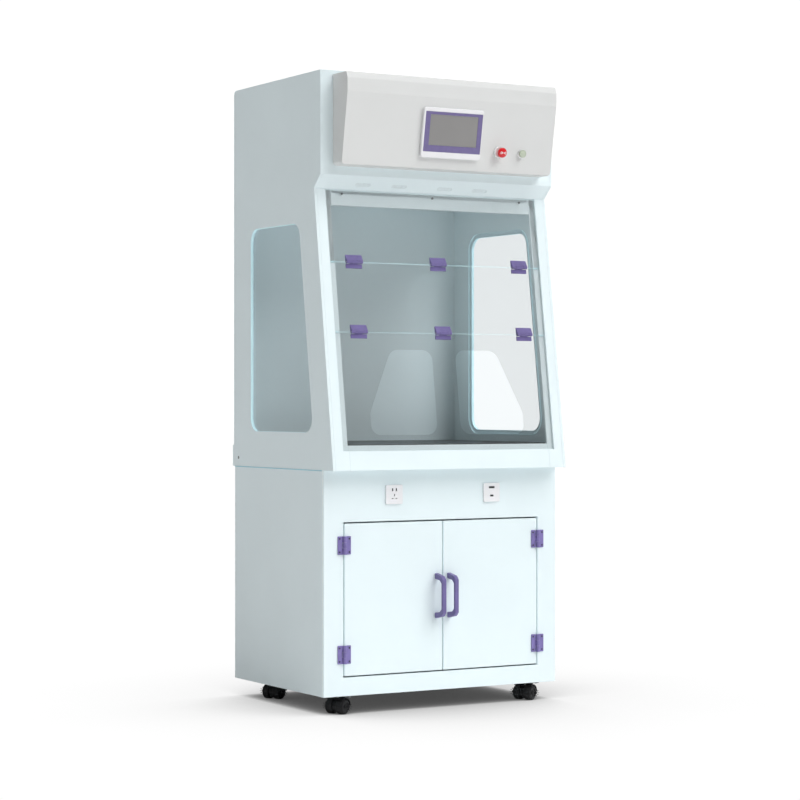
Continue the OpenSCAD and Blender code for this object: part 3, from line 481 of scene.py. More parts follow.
def local_box(name, basis):
    boxes = islands(name, basis)
    return (Vector(min(b[0][i] for b in boxes) for i in range(3)),
            Vector(max(b[1][i] for b in boxes) for i in range(3)))


def plane(origin, outward):
    """Axes on a front face: X to the right, Y up the face and Z out of it."""
    out = Vector(outward).normalized()
    up = Vector((0.0, out.z, -out.y))
    basis = Matrix((Vector((1.0, 0.0, 0.0)), up, out)).transposed().to_4x4()
    return Matrix.Translation(Vector(origin)) @ basis


def plain(obj):
    """Swaps a piece's live modifiers for the mesh that they make."""
    graph = bpy.context.evaluated_depsgraph_get()
    made = bpy.data.meshes.new_from_object(obj.evaluated_get(graph))
    old = obj.data
    obj.modifiers.clear()
    obj.data = made
    bpy.data.meshes.remove(old)
    made.name = obj.name
    return obj


def new_object(name, bm, makers):
    """An object made from a bmesh, with one material slot for each maker."""
    mesh = bpy.data.meshes.new(name)
    bm.to_mesh(mesh)
    bm.free()
    for maker in makers:
        mesh.materials.append(finish_of(maker))
    obj = bpy.data.objects.new(name, mesh)
    bpy.context.scene.collection.objects.link(obj)
    return obj


def smooth(obj, degrees=30.0):
    mesh = obj.data
    mesh.polygons.foreach_set("use_smooth", [True] * len(mesh.polygons))
    mesh.set_sharp_from_angle(angle=math.radians(degrees))
    return obj


def soften(obj, edge, segments=3):
    """Rounds every sharp edge by that width, with flat faces left flat to the eye."""
    mesh = obj.data
    mesh.polygons.foreach_set("use_smooth", [True] * len(mesh.polygons))
    bevel = obj.modifiers.new("round edges", "BEVEL")
    bevel.width = edge
    bevel.segments = segments
    bevel.limit_method = "ANGLE"
    bevel.angle_limit = math.radians(28)
    bevel.use_clamp_overlap = False
    weighted = obj.modifiers.new("flat faces", "WEIGHTED_NORMAL")
    weighted.weight = 100
    weighted.keep_sharp = True
    return plain(obj)


def settle(obj, body, replaced=()):
    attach(obj, body)
    if replaced:
        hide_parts(*replaced)
    return obj


def where(test, index=1):
    """Paints a bmesh: faces for which test(face, its middle) holds get the material of that index."""
    def paint(bm):
        for face in bm.faces:
            if test(face, face.calc_center_median()):
                face.material_index = index

    return paint


def faces_along(axis):
    """Paints the faces that look along neither way of axis."""
    across = Vector(axis)
    return where(lambda face, centre: abs(face.normal.dot(across)) < 0.7)


def finished(name, node, makers, edge=None, segments=3, paint=None):
    """A finished copy of a CAD node: flat faces whole, edges rounded, as a fine edge by default."""
    edge = sizes().fine_edge if edge is None else edge
    bm = cad_mesh(node)
    bmesh.ops.dissolve_limit(bm, angle_limit=math.radians(0.5), verts=bm.verts, edges=bm.edges,
                             delimit={"NORMAL"})
    bm.normal_update()
    if paint:
        paint(bm)
    obj = new_object(name, bm, makers)
    if edge:
        soften(obj, edge, segments)
    else:
        smooth(obj)
    return settle(obj, BODY_OF[node], [node])


def lathe(bm, profile, basis, sides=None):
    """Turns (radius, height) points round basis's Z; a radius of 0 closes to a point."""
    sides = sides or sizes().turn_sides
    rings = []
    for radius, height in profile:
        if radius < 1e-7:
            rings.append([bm.verts.new(basis @ Vector((0, 0, height)))])
        else:
            turns = [2 * math.pi * i / sides for i in range(sides)]
            around = [Vector((radius * math.cos(a), radius * math.sin(a), height)) for a in turns]
            rings.append([bm.verts.new(basis @ point) for point in around])
    bridge(bm, rings)


def bridge(bm, rings):
    """Joins rings of the same length, or rings and end points, into a skin."""
    for a, b in zip(rings, rings[1:]):
        for i in range(max(len(a), len(b))):
            corners = [a[i % len(a)], a[(i + 1) % len(a)], b[(i + 1) % len(b)], b[i % len(b)]]
            unique = list(dict.fromkeys(corners))
            if len(unique) > 2:
                bm.faces.new(unique)


def rounded_box_ring(width, height, radius, steps=8):
    """Points of a rounded rectangle round the origin, anticlockwise."""
    radius = min(radius, width / 2 - 1e-6, height / 2 - 1e-6)
    points = []
    for quarter in range(4):
        sx = 1 if quarter in (0, 3) else -1
        sy = 1 if quarter in (0, 1) else -1
        cx, cy = sx * (width / 2 - radius), sy * (height / 2 - radius)
        for i in range(steps + 1):
            a = math.radians(90 * (quarter + i / steps))
            points.append((cx + radius * math.cos(a), cy + radius * math.sin(a)))
    return points


def loft(bm, sections, basis):
    """Skins rounded rectangles (width, height, corner radius, level, centre) and closes both ends."""
    rings = [[bm.verts.new(basis @ Vector((x + centre[0], y + centre[1], level)))
              for x, y in rounded_box_ring(width, height, radius)]
             for width, height, radius, level, centre in sections]
    bridge(bm, rings)
    bm.faces.new(rings[0][::-1])
    bm.faces.new(rings[-1])


def box_into(bm, low, high, basis=Matrix()):
    corners = [bm.verts.new(basis @ Vector((x, y, z)))
               for z in (low[2], high[2]) for x, y in ((low[0], low[1]), (high[0], low[1]),
                                                       (high[0], high[1]), (low[0], high[1]))]
    for sides in ((3, 2, 1, 0), (4, 5, 6, 7), (0, 1, 5, 4), (1, 2, 6, 5), (2, 3, 7, 6), (3, 0, 4, 7)):
        bm.faces.new([corners[i] for i in sides])


def outward(bm):
    bmesh.ops.recalc_face_normals(bm, faces=bm.faces)


# ---- Geometry Nodes trees -------------------------------------------------------


def new_tree(name, inputs):
    tree = bpy.data.node_groups.new(name, "GeometryNodeTree")
    face = tree.interface
    face.new_socket("Geometry", in_out="INPUT", socket_type="NodeSocketGeometry")
    for label, kind in inputs:
        face.new_socket(label, in_out="INPUT", socket_type=kind)
    face.new_socket("Geometry", in_out="OUTPUT", socket_type="NodeSocketGeometry")
    return tree, tree.nodes.new("NodeGroupInput"), tree.nodes.new("NodeGroupOutput")


def tree_ending(tree, ins, out, geometry):
    """Ends a tree in real geometry with its material set."""
    real = tree.nodes.new("GeometryNodeRealizeInstances")
    paint = tree.nodes.new("GeometryNodeSetMaterial")
    tree.links.new(geometry, real.inputs["Geometry"])
    wire(tree, (real, "Geometry", paint, "Geometry"), (ins, "Material", paint, "Material"),
         (paint, "Geometry", out, "Geometry"))


def scatter_tree():
    """Puts a model, such as a screw head, on each point, turned to the point's facing."""
    tree, ins, out = new_tree("set_on_points", [
        ("Model", "NodeSocketObject"), ("Scale", "NodeSocketFloat"), ("Material", "NodeSocketMaterial")])
    facing = tree.nodes.new("GeometryNodeInputNamedAttribute")
    facing.data_type = "FLOAT_VECTOR"
    facing.inputs["Name"].default_value = "facing"
    turn = tree.nodes.new("FunctionNodeAlignRotationToVector")
    turn.axis = "Z"
    model = tree.nodes.new("GeometryNodeObjectInfo")
    place = tree.nodes.new("GeometryNodeInstanceOnPoints")
    wire(tree, (facing, "Attribute", turn, "Vector"), (ins, "Model", model, "Object"),
         (ins, "Geometry", place, "Points"), (model, "Geometry", place, "Instance"),
         (turn, "Rotation", place, "Rotation"), (ins, "Scale", place, "Scale"))
    tree_ending(tree, ins, out, place.outputs["Instances"])
    return tree


def slat_tree():
    """A row of tilted slats from one point along Y."""
    tree, ins, out = new_tree("slat_row", [
        ("Count", "NodeSocketInt"), ("Pitch", "NodeSocketFloat"), ("Start", "NodeSocketVector"),
        ("Slat", "NodeSocketVector"), ("Tilt", "NodeSocketFloat"), ("Material", "NodeSocketMaterial")])
    row = tree.nodes.new("GeometryNodeMeshLine")
    step = tree.nodes.new("ShaderNodeCombineXYZ")
    slat = tree.nodes.new("GeometryNodeMeshCube")
    turn = tree.nodes.new("ShaderNodeCombineXYZ")
    place = tree.nodes.new("GeometryNodeInstanceOnPoints")
    wire(tree, (ins, "Pitch", step, "Y"), (ins, "Count", row, "Count"),
         (ins, "Start", row, "Start Location"), (step, "Vector", row, "Offset"),
         (ins, "Slat", slat, "Size"), (ins, "Tilt", turn, "X"), (row, "Mesh", place, "Points"),
         (slat, "Mesh", place, "Instance"), (turn, "Vector", place, "Rotation"))
    tree_ending(tree, ins, out, place.outputs["Instances"])
    return tree


def bead_tree():
    """A weld bead: a round rod along each edge, rippled by noise."""
    tree, ins, out = new_tree("weld_bead", [("Radius", "NodeSocketFloat"),
                                            ("Material", "NodeSocketMaterial")])
    path = tree.nodes.new("GeometryNodeMeshToCurve")
    cut = tree.nodes.new("GeometryNodeResampleCurve")
    cut.mode = "LENGTH"
    cut.inputs["Length"].default_value = 0.012
    ripple = add_node(tree, "ShaderNodeTexNoise", Scale=70.0)
    spread = add_node(tree, "ShaderNodeMapRange", To_Min=0.86, To_Max=1.12)
    radius = tree.nodes.new("GeometryNodeSetCurveRadius")
    circle = add_node(tree, "GeometryNodeCurvePrimitiveCircle", Resolution=8)
    skin = add_node(tree, "GeometryNodeCurveToMesh", Fill_Caps=True)
    soft = tree.nodes.new("GeometryNodeSetShadeSmooth")
    wire(tree, (ins, "Geometry", path, "Mesh"), (path, "Curve", cut, "Curve"),
         (ripple, "Fac", spread, "Value"), (cut, "Curve", radius, "Curve"),
         (spread, "Result", radius, "Radius"), (ins, "Radius", circle, "Radius"),
         (radius, "Curve", skin, "Curve"), (circle, "Curve", skin, "Profile Curve"),
         (spread, "Result", skin, "Scale"), (skin, "Mesh", soft, "Geometry"))
    tree_ending(tree, ins, out, soft.outputs["Geometry"])
    return tree


def run_tree(obj, maker, values):
    """Runs a Geometry Nodes tree on obj and keeps the mesh that it makes."""
    tree = finish_of(maker)
    modifier = obj.modifiers.new(tree.name, "NODES")
    modifier.node_group = tree
    for item in tree.interface.items_tree:
        if item.in_out == "INPUT" and item.name in values:
            modifier[item.identifier] = values[item.name]
    return plain(obj)


def screw_head():
    """A pan head of radius 1 with a cross recess, standing on Z = 0."""
    bm = bmesh.new()
    lathe(bm, [(0, -0.3), (1.0, -0.3), (1.0, 0.12), (0.94, 0.30), (0.78, 0.46), (0.5, 0.56), (0, 0.60)],
          Matrix(), 20)
    outward(bm)
    head = new_object("screw_head", bm, [])
    bm = bmesh.new()
    for x, y in ((0.60, 0.13), (0.13, 0.60)):
        box_into(bm, (-x, -y, 0.25), (x, y, 0.9))
    outward(bm)
    cross = new_object("screw_cross", bm, [])
    cut = head.modifiers.new("recess", "BOOLEAN")
    cut.object = cross
    cut.solver = "EXACT"
    cut.use_self = True
    plain(head)
    smooth(head)
    bpy.data.objects.remove(cross)
    bpy.context.scene.collection.objects.unlink(head)
    return head


def wire_object(name, points, edges):
    """An object of loose points and edges."""
    mesh = bpy.data.meshes.new(name)
    mesh.from_pydata([tuple(point) for point in points], edges, [])
    obj = bpy.data.objects.new(name, mesh)
    bpy.context.scene.collection.objects.link(obj)
    return obj


def screws(name, places, radius, maker, body, replaced=()):
    """Screw heads of one body: places are (point, facing) pairs."""
    obj = wire_object(name, [point for point, _ in places], [])
    facing = obj.data.attributes.new("facing", "FLOAT_VECTOR", "POINT")
    for item, (_, way) in zip(facing.data, places):
        item.vector = way
    run_tree(obj, scatter_tree, {"Model": finish_of(screw_head), "Scale": radius,
                                 "Material": finish_of(maker)})
    return settle(obj, body, replaced)


def beads(name, lines, body, radius=None, maker=weld_plastic):
    """Beads along straight lines, each a pair of points."""
    obj = wire_object(name, [point for line in lines for point in line],
                      [(2 * i, 2 * i + 1) for i in range(len(lines))])
    run_tree(obj, bead_tree, {"Radius": radius or sizes().bead, "Material": finish_of(maker)})
    return settle(obj, body)


# ---- Planes of the front --------------------------------------------------------


def window_plane():
    """Axes on the slanted window, at the upper hinge line."""
    high, low = (Vector(JOINTS[f"{name}_hinge"]["pos_m"]) for name in ("middle_sash", "lower_sash"))
    up = (high - low).normalized()
    return plane(high, (0.0, -up.z, up.y))


def fascia_plane():
    """Axes on the fascia's main face, at the stop button's collar."""
    out = -Vector(JOINTS["stop_button_push"]["axis"])
    low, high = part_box("stop_button")
    axes = plane((low + high) / 2, out)
    collar = islands("button_collars", axes)[0]
    centre = (collar[0] + collar[1]) / 2
    skin = local_box("hmi_frame", axes)[1].z - 12 * MM
    return axes @ Matrix.Translation((centre.x, centre.y, skin))


# ---- Cabinet --------------------------------------------------------------------


def build_cabinet():
    edge = sizes().sheet_edge
    pair = [sheet_plastic, sawn_sheet]
    finished("cabinet_side_sheets", "cabinet_sides", pair, edge, paint=faces_along((1, 0, 0)))
    finished("cabinet_back_sheet", "cabinet_back", pair, edge, paint=faces_along((0, 1, 0)))
    finished("cabinet_floor_sheet", "cabinet_floor", pair, edge, paint=faces_along((0, 0, 1)))
    # The frame's edges at the door gaps get a faint painted glow.
    finished("cabinet_face_frame", "face_frame", [sheet_plastic, gap_edge], edge,
             paint=faces_along((0, 1, 0)))
    finished("cabinet_shelf", "shelf", pair, edge, paint=faces_along((0, 0, 1)))
    finished("shelf_pegs", "shelf_pins", [sheet_plastic])
    low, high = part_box("cabinet_floor")
    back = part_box("cabinet_back")[0].y
    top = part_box("cabinet_sides")[1].z
    z = high.z
    lines = [((x, low.y + edge, z), (x, back, z)) for x in (low.x, high.x)]
    lines += [((low.x, back, z), (high.x, back, z))]
    lines += [((x, back, z), (x, back, top)) for x in (low.x, high.x)]
    beads("cabinet_welds", lines, "body")


def build_doors():
    for door in DOORS:
        # The doors' edges at the gaps get a faint painted glow.
        finished(f"{door}_panel", door, [sheet_plastic, gap_edge], sizes().sheet_edge,
                 paint=faces_along((0, 1, 0)))


def build_handles():
    for side, door in (("left", "left_door"), ("right", "right_door")):
        node = f"{side}_handle"
        finished(f"{side}_bow_handle", node, [purple_plastic], sizes().grip_edge, 4)
        low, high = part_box(node)
        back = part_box(door)[1].y
        middle = (low.x + high.x) / 2
        foot = 9.5 * MM
        places = [((middle, back, z), (0, 1, 0)) for z in (low.z + foot, high.z - foot)]
        screws(f"{side}_handle_screws", places,
               sizes().case_screw, brushed_steel, door)


def hinge_screw_places(node, inner):
    """Screw holes of door hinge leaves, by their free edge, which faces the middle where inner."""
    from_edge, from_end, depth = 6 * MM, 8 * MM, 4 * MM
    places = []
    for low, high in islands(node):
        x = high.x - from_edge if (low.x < 0) == inner else low.x + from_edge
        places += [((x, high.y - depth, z), (0, -1, 0)) for z in (low.z + from_end, high.z - from_end)]
    return places


def build_door_hinges():
    edge, head = sizes().fine_edge * 1.5, sizes().hinge_screw
    # The hinge leaves take the paler purple, a painted highlight.
    finished("frame_leaves", "frame_hinge_leaves", [hinge_plastic], edge)
    finished("hinge_pins", "door_hinge_pins", [brushed_steel])
    screws("frame_leaf_screws", hinge_screw_places("frame_hinge_leaves", False), head, dark_steel,
           "body")
    for door in DOORS:
        node = f"{door}_leaves"
        finished(f"{door}_hinge_leaves", node, [hinge_plastic], edge)
        screws(f"{door}_leaf_screws", hinge_screw_places(node, True), head, dark_steel,
               door)


def build_sockets():
    """Socket plates with a raised middle and painted shade inside their slots."""
    boxes = islands("socket_plates")
    front = boxes[0][0].y
    level = (boxes[0][0].z + boxes[0][1].z) / 2
    middles = [(low.x + high.x) / 2 for low, high in boxes]
    nearest, deepest, beside, above = 1 * MM, 15 * MM, 20 * MM, 24 * MM

    def in_slot(face, centre):
        near = min(abs(abs(centre.x) - abs(x)) for x in middles)
        inside = front + nearest < centre.y < front + deepest
        return inside and near < beside and abs(centre.z - level) < above

    finished("socket_faces", "socket_plates", [gloss_white, socket_gap], segments=2, paint=where(in_slot))


# ---- Casters --------------------------------------------------------------------


def build_casters():
    finished("caster_top_plates", "caster_plates", [black_nylon])
    places = []
    for low, high in islands("caster_plates"):
        centre = (low + high) / 2
        reach = (high.x - low.x) / 2 - 8 * MM
        places += [((centre.x + i * reach, centre.y + j * reach, low.z), (0, 0, -1))
                   for i in (-1, 1) for j in (-1, 1)]
    screws("caster_bolts", places, 4.2 * MM, brushed_steel, "body")
    for corner in CORNERS:
        fork, wheels = f"{corner}_fork", f"{corner}_wheels"
        finished(f"{corner}_caster_body", fork, [black_nylon])
        axle = Vector(JOINTS[f"{corner}_wheel_roll"]["pos_m"])
        along = Vector(JOINTS[f"{corner}_wheel_roll"]["axis"])
        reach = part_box(wheels)[1].z - axle.z

        def tread(face, centre, axle=axle, along=along, reach=reach):
            arm = centre - axle
            return (arm - along * arm.dot(along)).length > reach - 3 * MM

        finished(f"{corner}_wheel_pair", wheels, [black_nylon, wheel_tread], segments=2,
                 paint=where(tread))
        hub_caps(corner, wheels, axle, along)


def hub_caps(corner, wheels, axle, along):
    """Domed caps over the axle's ends, with a ring of small ribs."""
    bm = bmesh.new()
    end = local_box(wheels, plane(axle, along))[1].z
    for side in (-1, 1):
        basis = plane(axle + along * side * (end - 0.4 * MM), along * side)
        lathe(bm, [(0, -1.5 * MM), (6 * MM, -1.5 * MM), (6 * MM, -0.4 * MM), (5 * MM, 0.0), (0, 0.35 * MM)],
              basis, 28)
        for i in range(10):
            spoke = basis @ Matrix.Rotation(2 * math.pi * i / 10, 4, "Z")
            box_into(bm, (8.5 * MM, -0.7 * MM, -2.2 * MM), (14.5 * MM, 0.7 * MM, -0.8 * MM), spoke)
    outward(bm)
    obj = smooth(new_object(f"{corner}_hub_caps", bm, [black_nylon]))
    settle(obj, f"{corner}_wheelset")


# ---- Hood shell -----------------------------------------------------------------


def build_hood():
    edge = sizes().sheet_edge
    pair = [sheet_plastic, sawn_sheet]
    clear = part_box("side_panes")

    def in_cutout(face, centre):
        inside = all(clear[0][i] < centre[i] < clear[1][i] for i in (1, 2))
        return inside and face.material_index == 1

    def reveals(bm):
        """Sawn edges all round, and the insides of the window cut-outs given a painted glow."""
        faces_along((1, 0, 0))(bm)
        where(in_cutout, 2)(bm)

    finished("hood_side_sheets", "hood_sides", [*pair, lit_reveal], edge, paint=reveals)
    finished("hood_back_sheet", "hood_back", pair, edge)
    finished("hood_floor_sheet", "hood_floor", pair, edge)
    finished("roof_sheet", "roof_panel", [sheet_plastic], edge)
    upper, largest = islands("visor_panel")[0][0].z + 60 * MM, 1100 * MM * MM

    def vent_floor(face, centre):
        """Bottoms of the vents: the small faces that lean the visor's way."""
        small = face.calc_area() < largest and centre.z < upper
        return small and face.normal.y < -0.6 and face.normal.z < -0.5

    finished("visor_sheet", "visor_panel", [sheet_plastic, vent_shadow], segments=2,
             paint=where(vent_floor))
    hood_beads()


def hood_beads():
    """Welds inside the work chamber, and the seals in the joint between hood and cabinet."""
    side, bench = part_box("hood_floor")[1].x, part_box("worktop")[1].z
    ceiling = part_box("chamber_ceiling")
    front, rear, top = ceiling[0].y, ceiling[1].y, ceiling[0].z
    lines = [((x, rear, bench), (x, rear, top)) for x in (-side, side)]
    lines += [((-side, rear, top), (side, rear, top))]
    lines += [((x, front, top), (x, rear, top)) for x in (-side, side)]
    beads("chamber_welds", lines, "body")
    cab_low, cab_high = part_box("cabinet_sides")
    rim = sizes().seal
    lines = [((x, cab_low.y + rim, cab_high.z - rim / 2), (x, cab_high.y - rim, cab_high.z - rim / 2))
             for x in (cab_low.x, cab_high.x)]
    beads("joint_seals", lines, "body", rim, joint_seal)


def build_grille():
    """Louvred exhaust grille in the roof."""
    low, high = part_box("exhaust_grille")
    rim, bar = 14 * MM, 10 * MM
    bm = bmesh.new()
    for x0, x1, y0, y1 in ((low.x, high.x, low.y, low.y + rim), (low.x, high.x, high.y - rim, high.y),
                           (low.x, low.x + rim, low.y + rim, high.y - rim),
                           (high.x - rim, high.x, low.y + rim, high.y - rim),
                           (-bar / 2, bar / 2, low.y + rim, high.y - rim)):
        box_into(bm, (x0, y0, low.z), (x1, y1, high.z))
    rails = soften(new_object("grille_rails", bm, [sheet_plastic]), sizes().fine_edge)
    settle(rails, "body", ["exhaust_grille"])
    pitch = sizes().slat_pitch
    span = high.y - low.y - 2 * rim
    count = int(span / pitch)
    start = (0.0, low.y + rim + (span - (count - 1) * pitch) / 2, (low.z + high.z) / 2)
    slats = new_object("grille_slats", bmesh.new(), [])
    run_tree(slats, slat_tree, {
        "Count": count, "Pitch": pitch, "Start": start,
        "Slat": (high.x - low.x - 2 * rim, 9.0 * MM, 1.6 * MM), "Tilt": math.radians(28),
        "Material": finish_of(sheet_plastic)})
    settle(slats, "body")


def build_side_windows():
    # The panes' edges get a painted glow.
    finished("side_window_panes", "side_panes", [side_acrylic, acrylic_edge], segments=2,
             paint=faces_along((1, 0, 0)))


# ---- Window ---------------------------------------------------------------------


def build_window_frame():
    edge = sizes().sheet_edge
    finished("window_upright_bars", "window_uprights", [sheet_plastic], edge)
    finished("window_header", "header_rail", [sheet_plastic], edge)
    finished("window_sill", "bottom_rail", [sheet_plastic], edge)


def build_sashes():
    """Clear panes whose edges along the seams get a painted glow."""
    axes = window_plane()
    up = axes.to_3x3().col[1]
    start = axes.translation
    ends = [local_box(name, axes) for name in SASHES]
    bottom, top = min(low.y for low, _ in ends), max(high.y for _, high in ends)
    for name in SASHES:
        low, high = local_box(name, axes)

        def seam(face, centre, low=low, high=high):
            level = (centre - start).dot(up)
            at_end = min(level - low.y, high.y - level) < 2 * MM
            return at_end and bottom + 5 * MM < level < top - 5 * MM and abs(face.normal.dot(up)) > 0.9

        finished(f"{name}_glazing", name, [clear_acrylic, acrylic_edge], segments=2,
                 paint=where(seam))


def build_window_hinges():
    for node in ("upper_pane_leaves", "middle_sash_leaves", "lower_sash_leaves"):
        finished(f"{node}_moulded", node, [purple_plastic], sizes().fine_edge * 2)
    finished("sash_pins", "sash_hinge_pins", [brushed_steel])


def build_case_screws():
    axes = window_plane()
    out = axes.to_3x3().col[2]
    places, sides = [], []
    for low, high in islands("case_screws", axes):
        middle = (low + high) / 2
        if abs(middle.x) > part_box("hood_sides")[1].x - 5 * MM:
            continue
        places.append((axes @ Vector((middle.x, middle.y, high.z - 2.4 * MM)), out))
    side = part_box("hood_sides")[1].x
    for low, high in islands("case_screws"):
        middle = (low + high) / 2
        if abs(middle.x) > side - 5 * MM:
            way = math.copysign(1.0, middle.x)
            sides.append(((way * (side - 1.4 * MM), middle.y, middle.z), (way, 0, 0)))
    screws("hood_screws", places, sizes().case_screw, grey_screw, "body", ["case_screws"])
    screws("side_screws", sides, sizes().case_screw * 1.4, grey_screw, "body")


# ---- Chamber, filter and fan ----------------------------------------------------


def build_worktop():
    finished("worktop_board", "worktop", [worktop_slab], 2.0 * MM, 4)


def build_chamber():
    finished("chamber_ceiling_sheet", "chamber_ceiling", [sheet_plastic], segments=2)
    finished("lamp_tray", "lamp_housing", [enamel])
    finished("lamp_cover", "lamp_diffuser", [lamp_lens])


def build_air_system():
    finished("prefilter_mat", "prefilter", [fleece], 2.5 * MM, 3)
    finished("filter_cassette", "carbon_filter", [enamel, cassette], sizes().mould_edge, 2, where(granules))
    finished("fan_deck_sheet", "fan_deck", [sheet_plastic], 0)
    finished("fan_motor_can", "fan_motor", [brushed_steel], 0)
    finished("impeller_wheel", "impeller", [fan_nylon], 0)
    finished("control_box_cover", "control_box", [enamel])


def granules(face, centre):
    """Granules behind the top and bottom grids of the carbon filter."""
    low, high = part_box("carbon_filter")
    return abs(face.normal.z) > 0.9 and low.z + 1 * MM < centre.z < high.z - 1 * MM


# ---- Fascia ---------------------------------------------------------------------


def build_fascia():
    finished("fascia_shell", "fascia", [shell_plastic], 1.2 * MM, 3)


def build_touch_panel():
    """Surround with a crowned rim, a purple bezel and a coated screen."""
    axes = fascia_plane()
    low, high = local_box("hmi_frame", axes)
    centre = ((low.x + high.x) / 2, (low.y + high.y) / 2)
    width, height, proud = high.x - low.x, high.y - low.y, high.z
    glass_low, glass_high = local_box("hmi_bezel", axes)
    window = ((glass_low.x + glass_high.x) / 2, (glass_low.y + glass_high.y) / 2)
    play, lip, crown, corner, body = 0.3 * MM, 0.7 * MM, 3.0 * MM, 9 * MM, 12 * MM
    in_w, in_h = glass_high.x - glass_low.x + play, glass_high.y - glass_low.y + play
    sections = [(width - body, height - body, 2 * MM, low.z, centre),
                (width - body, height - body, 2 * MM, 0.0, centre),
                (width - 1 * MM, height - 1 * MM, corner, 0.0, centre),
                (width, height, corner, 0.6 * MM, centre)]
    for i in range(7):
        a = math.radians(15 * i)
        inset = crown * (1 - math.cos(a))
        sections.append((width - 2 * inset, height - 2 * inset, corner - inset * 0.6,
                         proud - crown + crown * math.sin(a), centre))
    sections += [(in_w + 2 * lip, in_h + 2 * lip, 3 * MM, proud, window),
                 (in_w, in_h, 2.4 * MM, proud - lip, window),
                 (in_w, in_h, 2.4 * MM, glass_low.z, window)]
    bm = bmesh.new()
    loft(bm, sections, axes)
    outward(bm)
    rim = smooth(new_object("touch_panel_rim", bm, [gloss_white]), 40)
    settle(rim, "body", ["hmi_frame"])
    finished("touch_panel_bezel", "hmi_bezel", [bezel_film])
    finished("touch_panel_screen", "hmi_screen", [screen_glass])


def build_buttons():
    axes = fascia_plane()
    stop, start = islands("button_collars", axes)
    stop_top = local_box("stop_button", axes)[1].z
    start_top = local_box("start_button", axes)[1].z
    bm = bmesh.new()
    places = []
    for low, high in (stop, start):
        middle = (low + high) / 2
        radius, top = (high.x - low.x) / 2, high.z
        bore, neck = 8.06 * MM, 11 * MM
        place = axes @ Matrix.Translation((middle.x, middle.y, 0))
        places.append(place)
        lathe(bm, [(bore, low.z + 6 * MM), (neck, low.z + 6 * MM), (neck, 0), (radius, 0),
                   (radius, top * 0.55), (radius - 0.8 * MM, top * 0.8), (radius - 1.8 * MM, top),
                   (bore + 1.5 * MM, top), (bore, top - 0.8 * MM), (bore, low.z + 6 * MM)], place)
    bmesh.ops.remove_doubles(bm, verts=bm.verts, dist=WELD)
    outward(bm)
    settle(smooth(new_object("button_rings", bm, [bright_plating])), "body",
           ["button_collars"])
    build_stop_button(places[0], stop_top)
    build_start_button(places[1], start_top)


def dome_height(radius, reach, top, rise):
    return top - rise + rise * math.sqrt(max(0.0, 1 - (radius / reach) ** 2))


def build_stop_button(place, top):
    """Mushroom head with two pale turning marks that point at its middle."""
    reach = (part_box("stop_button")[1].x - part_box("stop_button")[0].x) / 2
    rise, plunger = 7 * MM, 8 * MM
    foot = local_box("stop_button", place)[0].z
    profile = [(0, foot), (plunger, foot), (plunger, top - 15 * MM), (reach - 3.4 * MM, top - 15 * MM),
               (reach - 0.8 * MM, top - 13 * MM), (reach, top - 11.4 * MM), (reach, top - rise)]
    profile += [(reach * math.cos(math.radians(a)), top - rise + rise * math.sin(math.radians(a)))
                for a in range(10, 90, 10)]
    bm = bmesh.new()
    lathe(bm, [*profile, (0, top)], place)
    outward(bm)
    settle(smooth(new_object("stop_mushroom", bm, [stop_red]), 40), "stop_button",
           ["stop_button"])
    bm = bmesh.new()
    lift, root, steps = 0.22 * MM, -0.4 * MM, 8
    inner, length, narrow, growth, taper = 1.0 * MM, 10.0 * MM, 0.8 * MM, 5.6 * MM, 2.0 * MM
    for way in (-1, 1):
        rings = []
        for i in range(steps + 1):
            x = way * (inner + length * i / steps)
            half = narrow + growth * i / steps - max(0, i - 6) * taper
            corners = []
            for y, up in ((-half, root), (half, root), (half, lift), (-half, lift)):
                z = dome_height(math.hypot(x, y), reach, top, rise) + up
                corners.append(bm.verts.new(place @ Vector((x, y, z))))
            rings.append(corners)
        bridge(bm, rings)
        bm.faces.new(rings[0])
        bm.faces.new(rings[-1][::-1])
    outward(bm)
    settle(smooth(new_object("stop_marks", bm, [mark_white])), "stop_button")


def build_start_button(place, top):
    """Lens with a raised round rim and a shallow dome."""
    reach = (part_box("start_button")[1].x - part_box("start_button")[0].x) / 2
    foot = local_box("start_button", place)[0].z
    bm = bmesh.new()
    plunger, under = 8 * MM, top - 5.5 * MM
    lathe(bm, [(0, foot), (plunger, foot), (plunger, under), (reach, under), (reach, top - 1.6 * MM),
               (reach - 0.5 * MM, top - 0.6 * MM), (reach - 1.4 * MM, top - 0.3 * MM),
               (reach - 2.2 * MM, top - 0.8 * MM), (reach * 0.5, top - 0.25 * MM), (0, top)], place)
    outward(bm)
    settle(smooth(new_object("start_lens_cap", bm, [start_lens]), 50), "start_button",
           ["start_button"])


def build_inlet():
    finished("mains_inlet", "power_inlet", [inlet_black], segments=2)
    low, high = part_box("power_inlet")
    x, z = (low.x + high.x) / 2, (low.z + high.z) / 2
    apart, sunk = 20 * MM, 1.4 * MM
    screws("inlet_screws", [((x + s * apart, high.y - sunk, z), (0, 1, 0)) for s in (-1, 1)],
           2.2 * MM, brushed_steel, "body")
    bm = bmesh.new()
    for dx, dz in ((-6.5 * MM, -1.5 * MM), (6.5 * MM, -1.5 * MM), (0.0, 2.5 * MM)):
        box_into(bm, (x + dx - 1 * MM, high.y - 18 * MM, z + dz - 2 * MM),
                 (x + dx + 1 * MM, high.y - 6 * MM, z + dz + 2 * MM))
    pins = soften(new_object("inlet_pins", bm, [brushed_steel]), 0.3 * MM, 2)
    settle(pins, "body")


# ---- Stage ----------------------------------------------------------------------


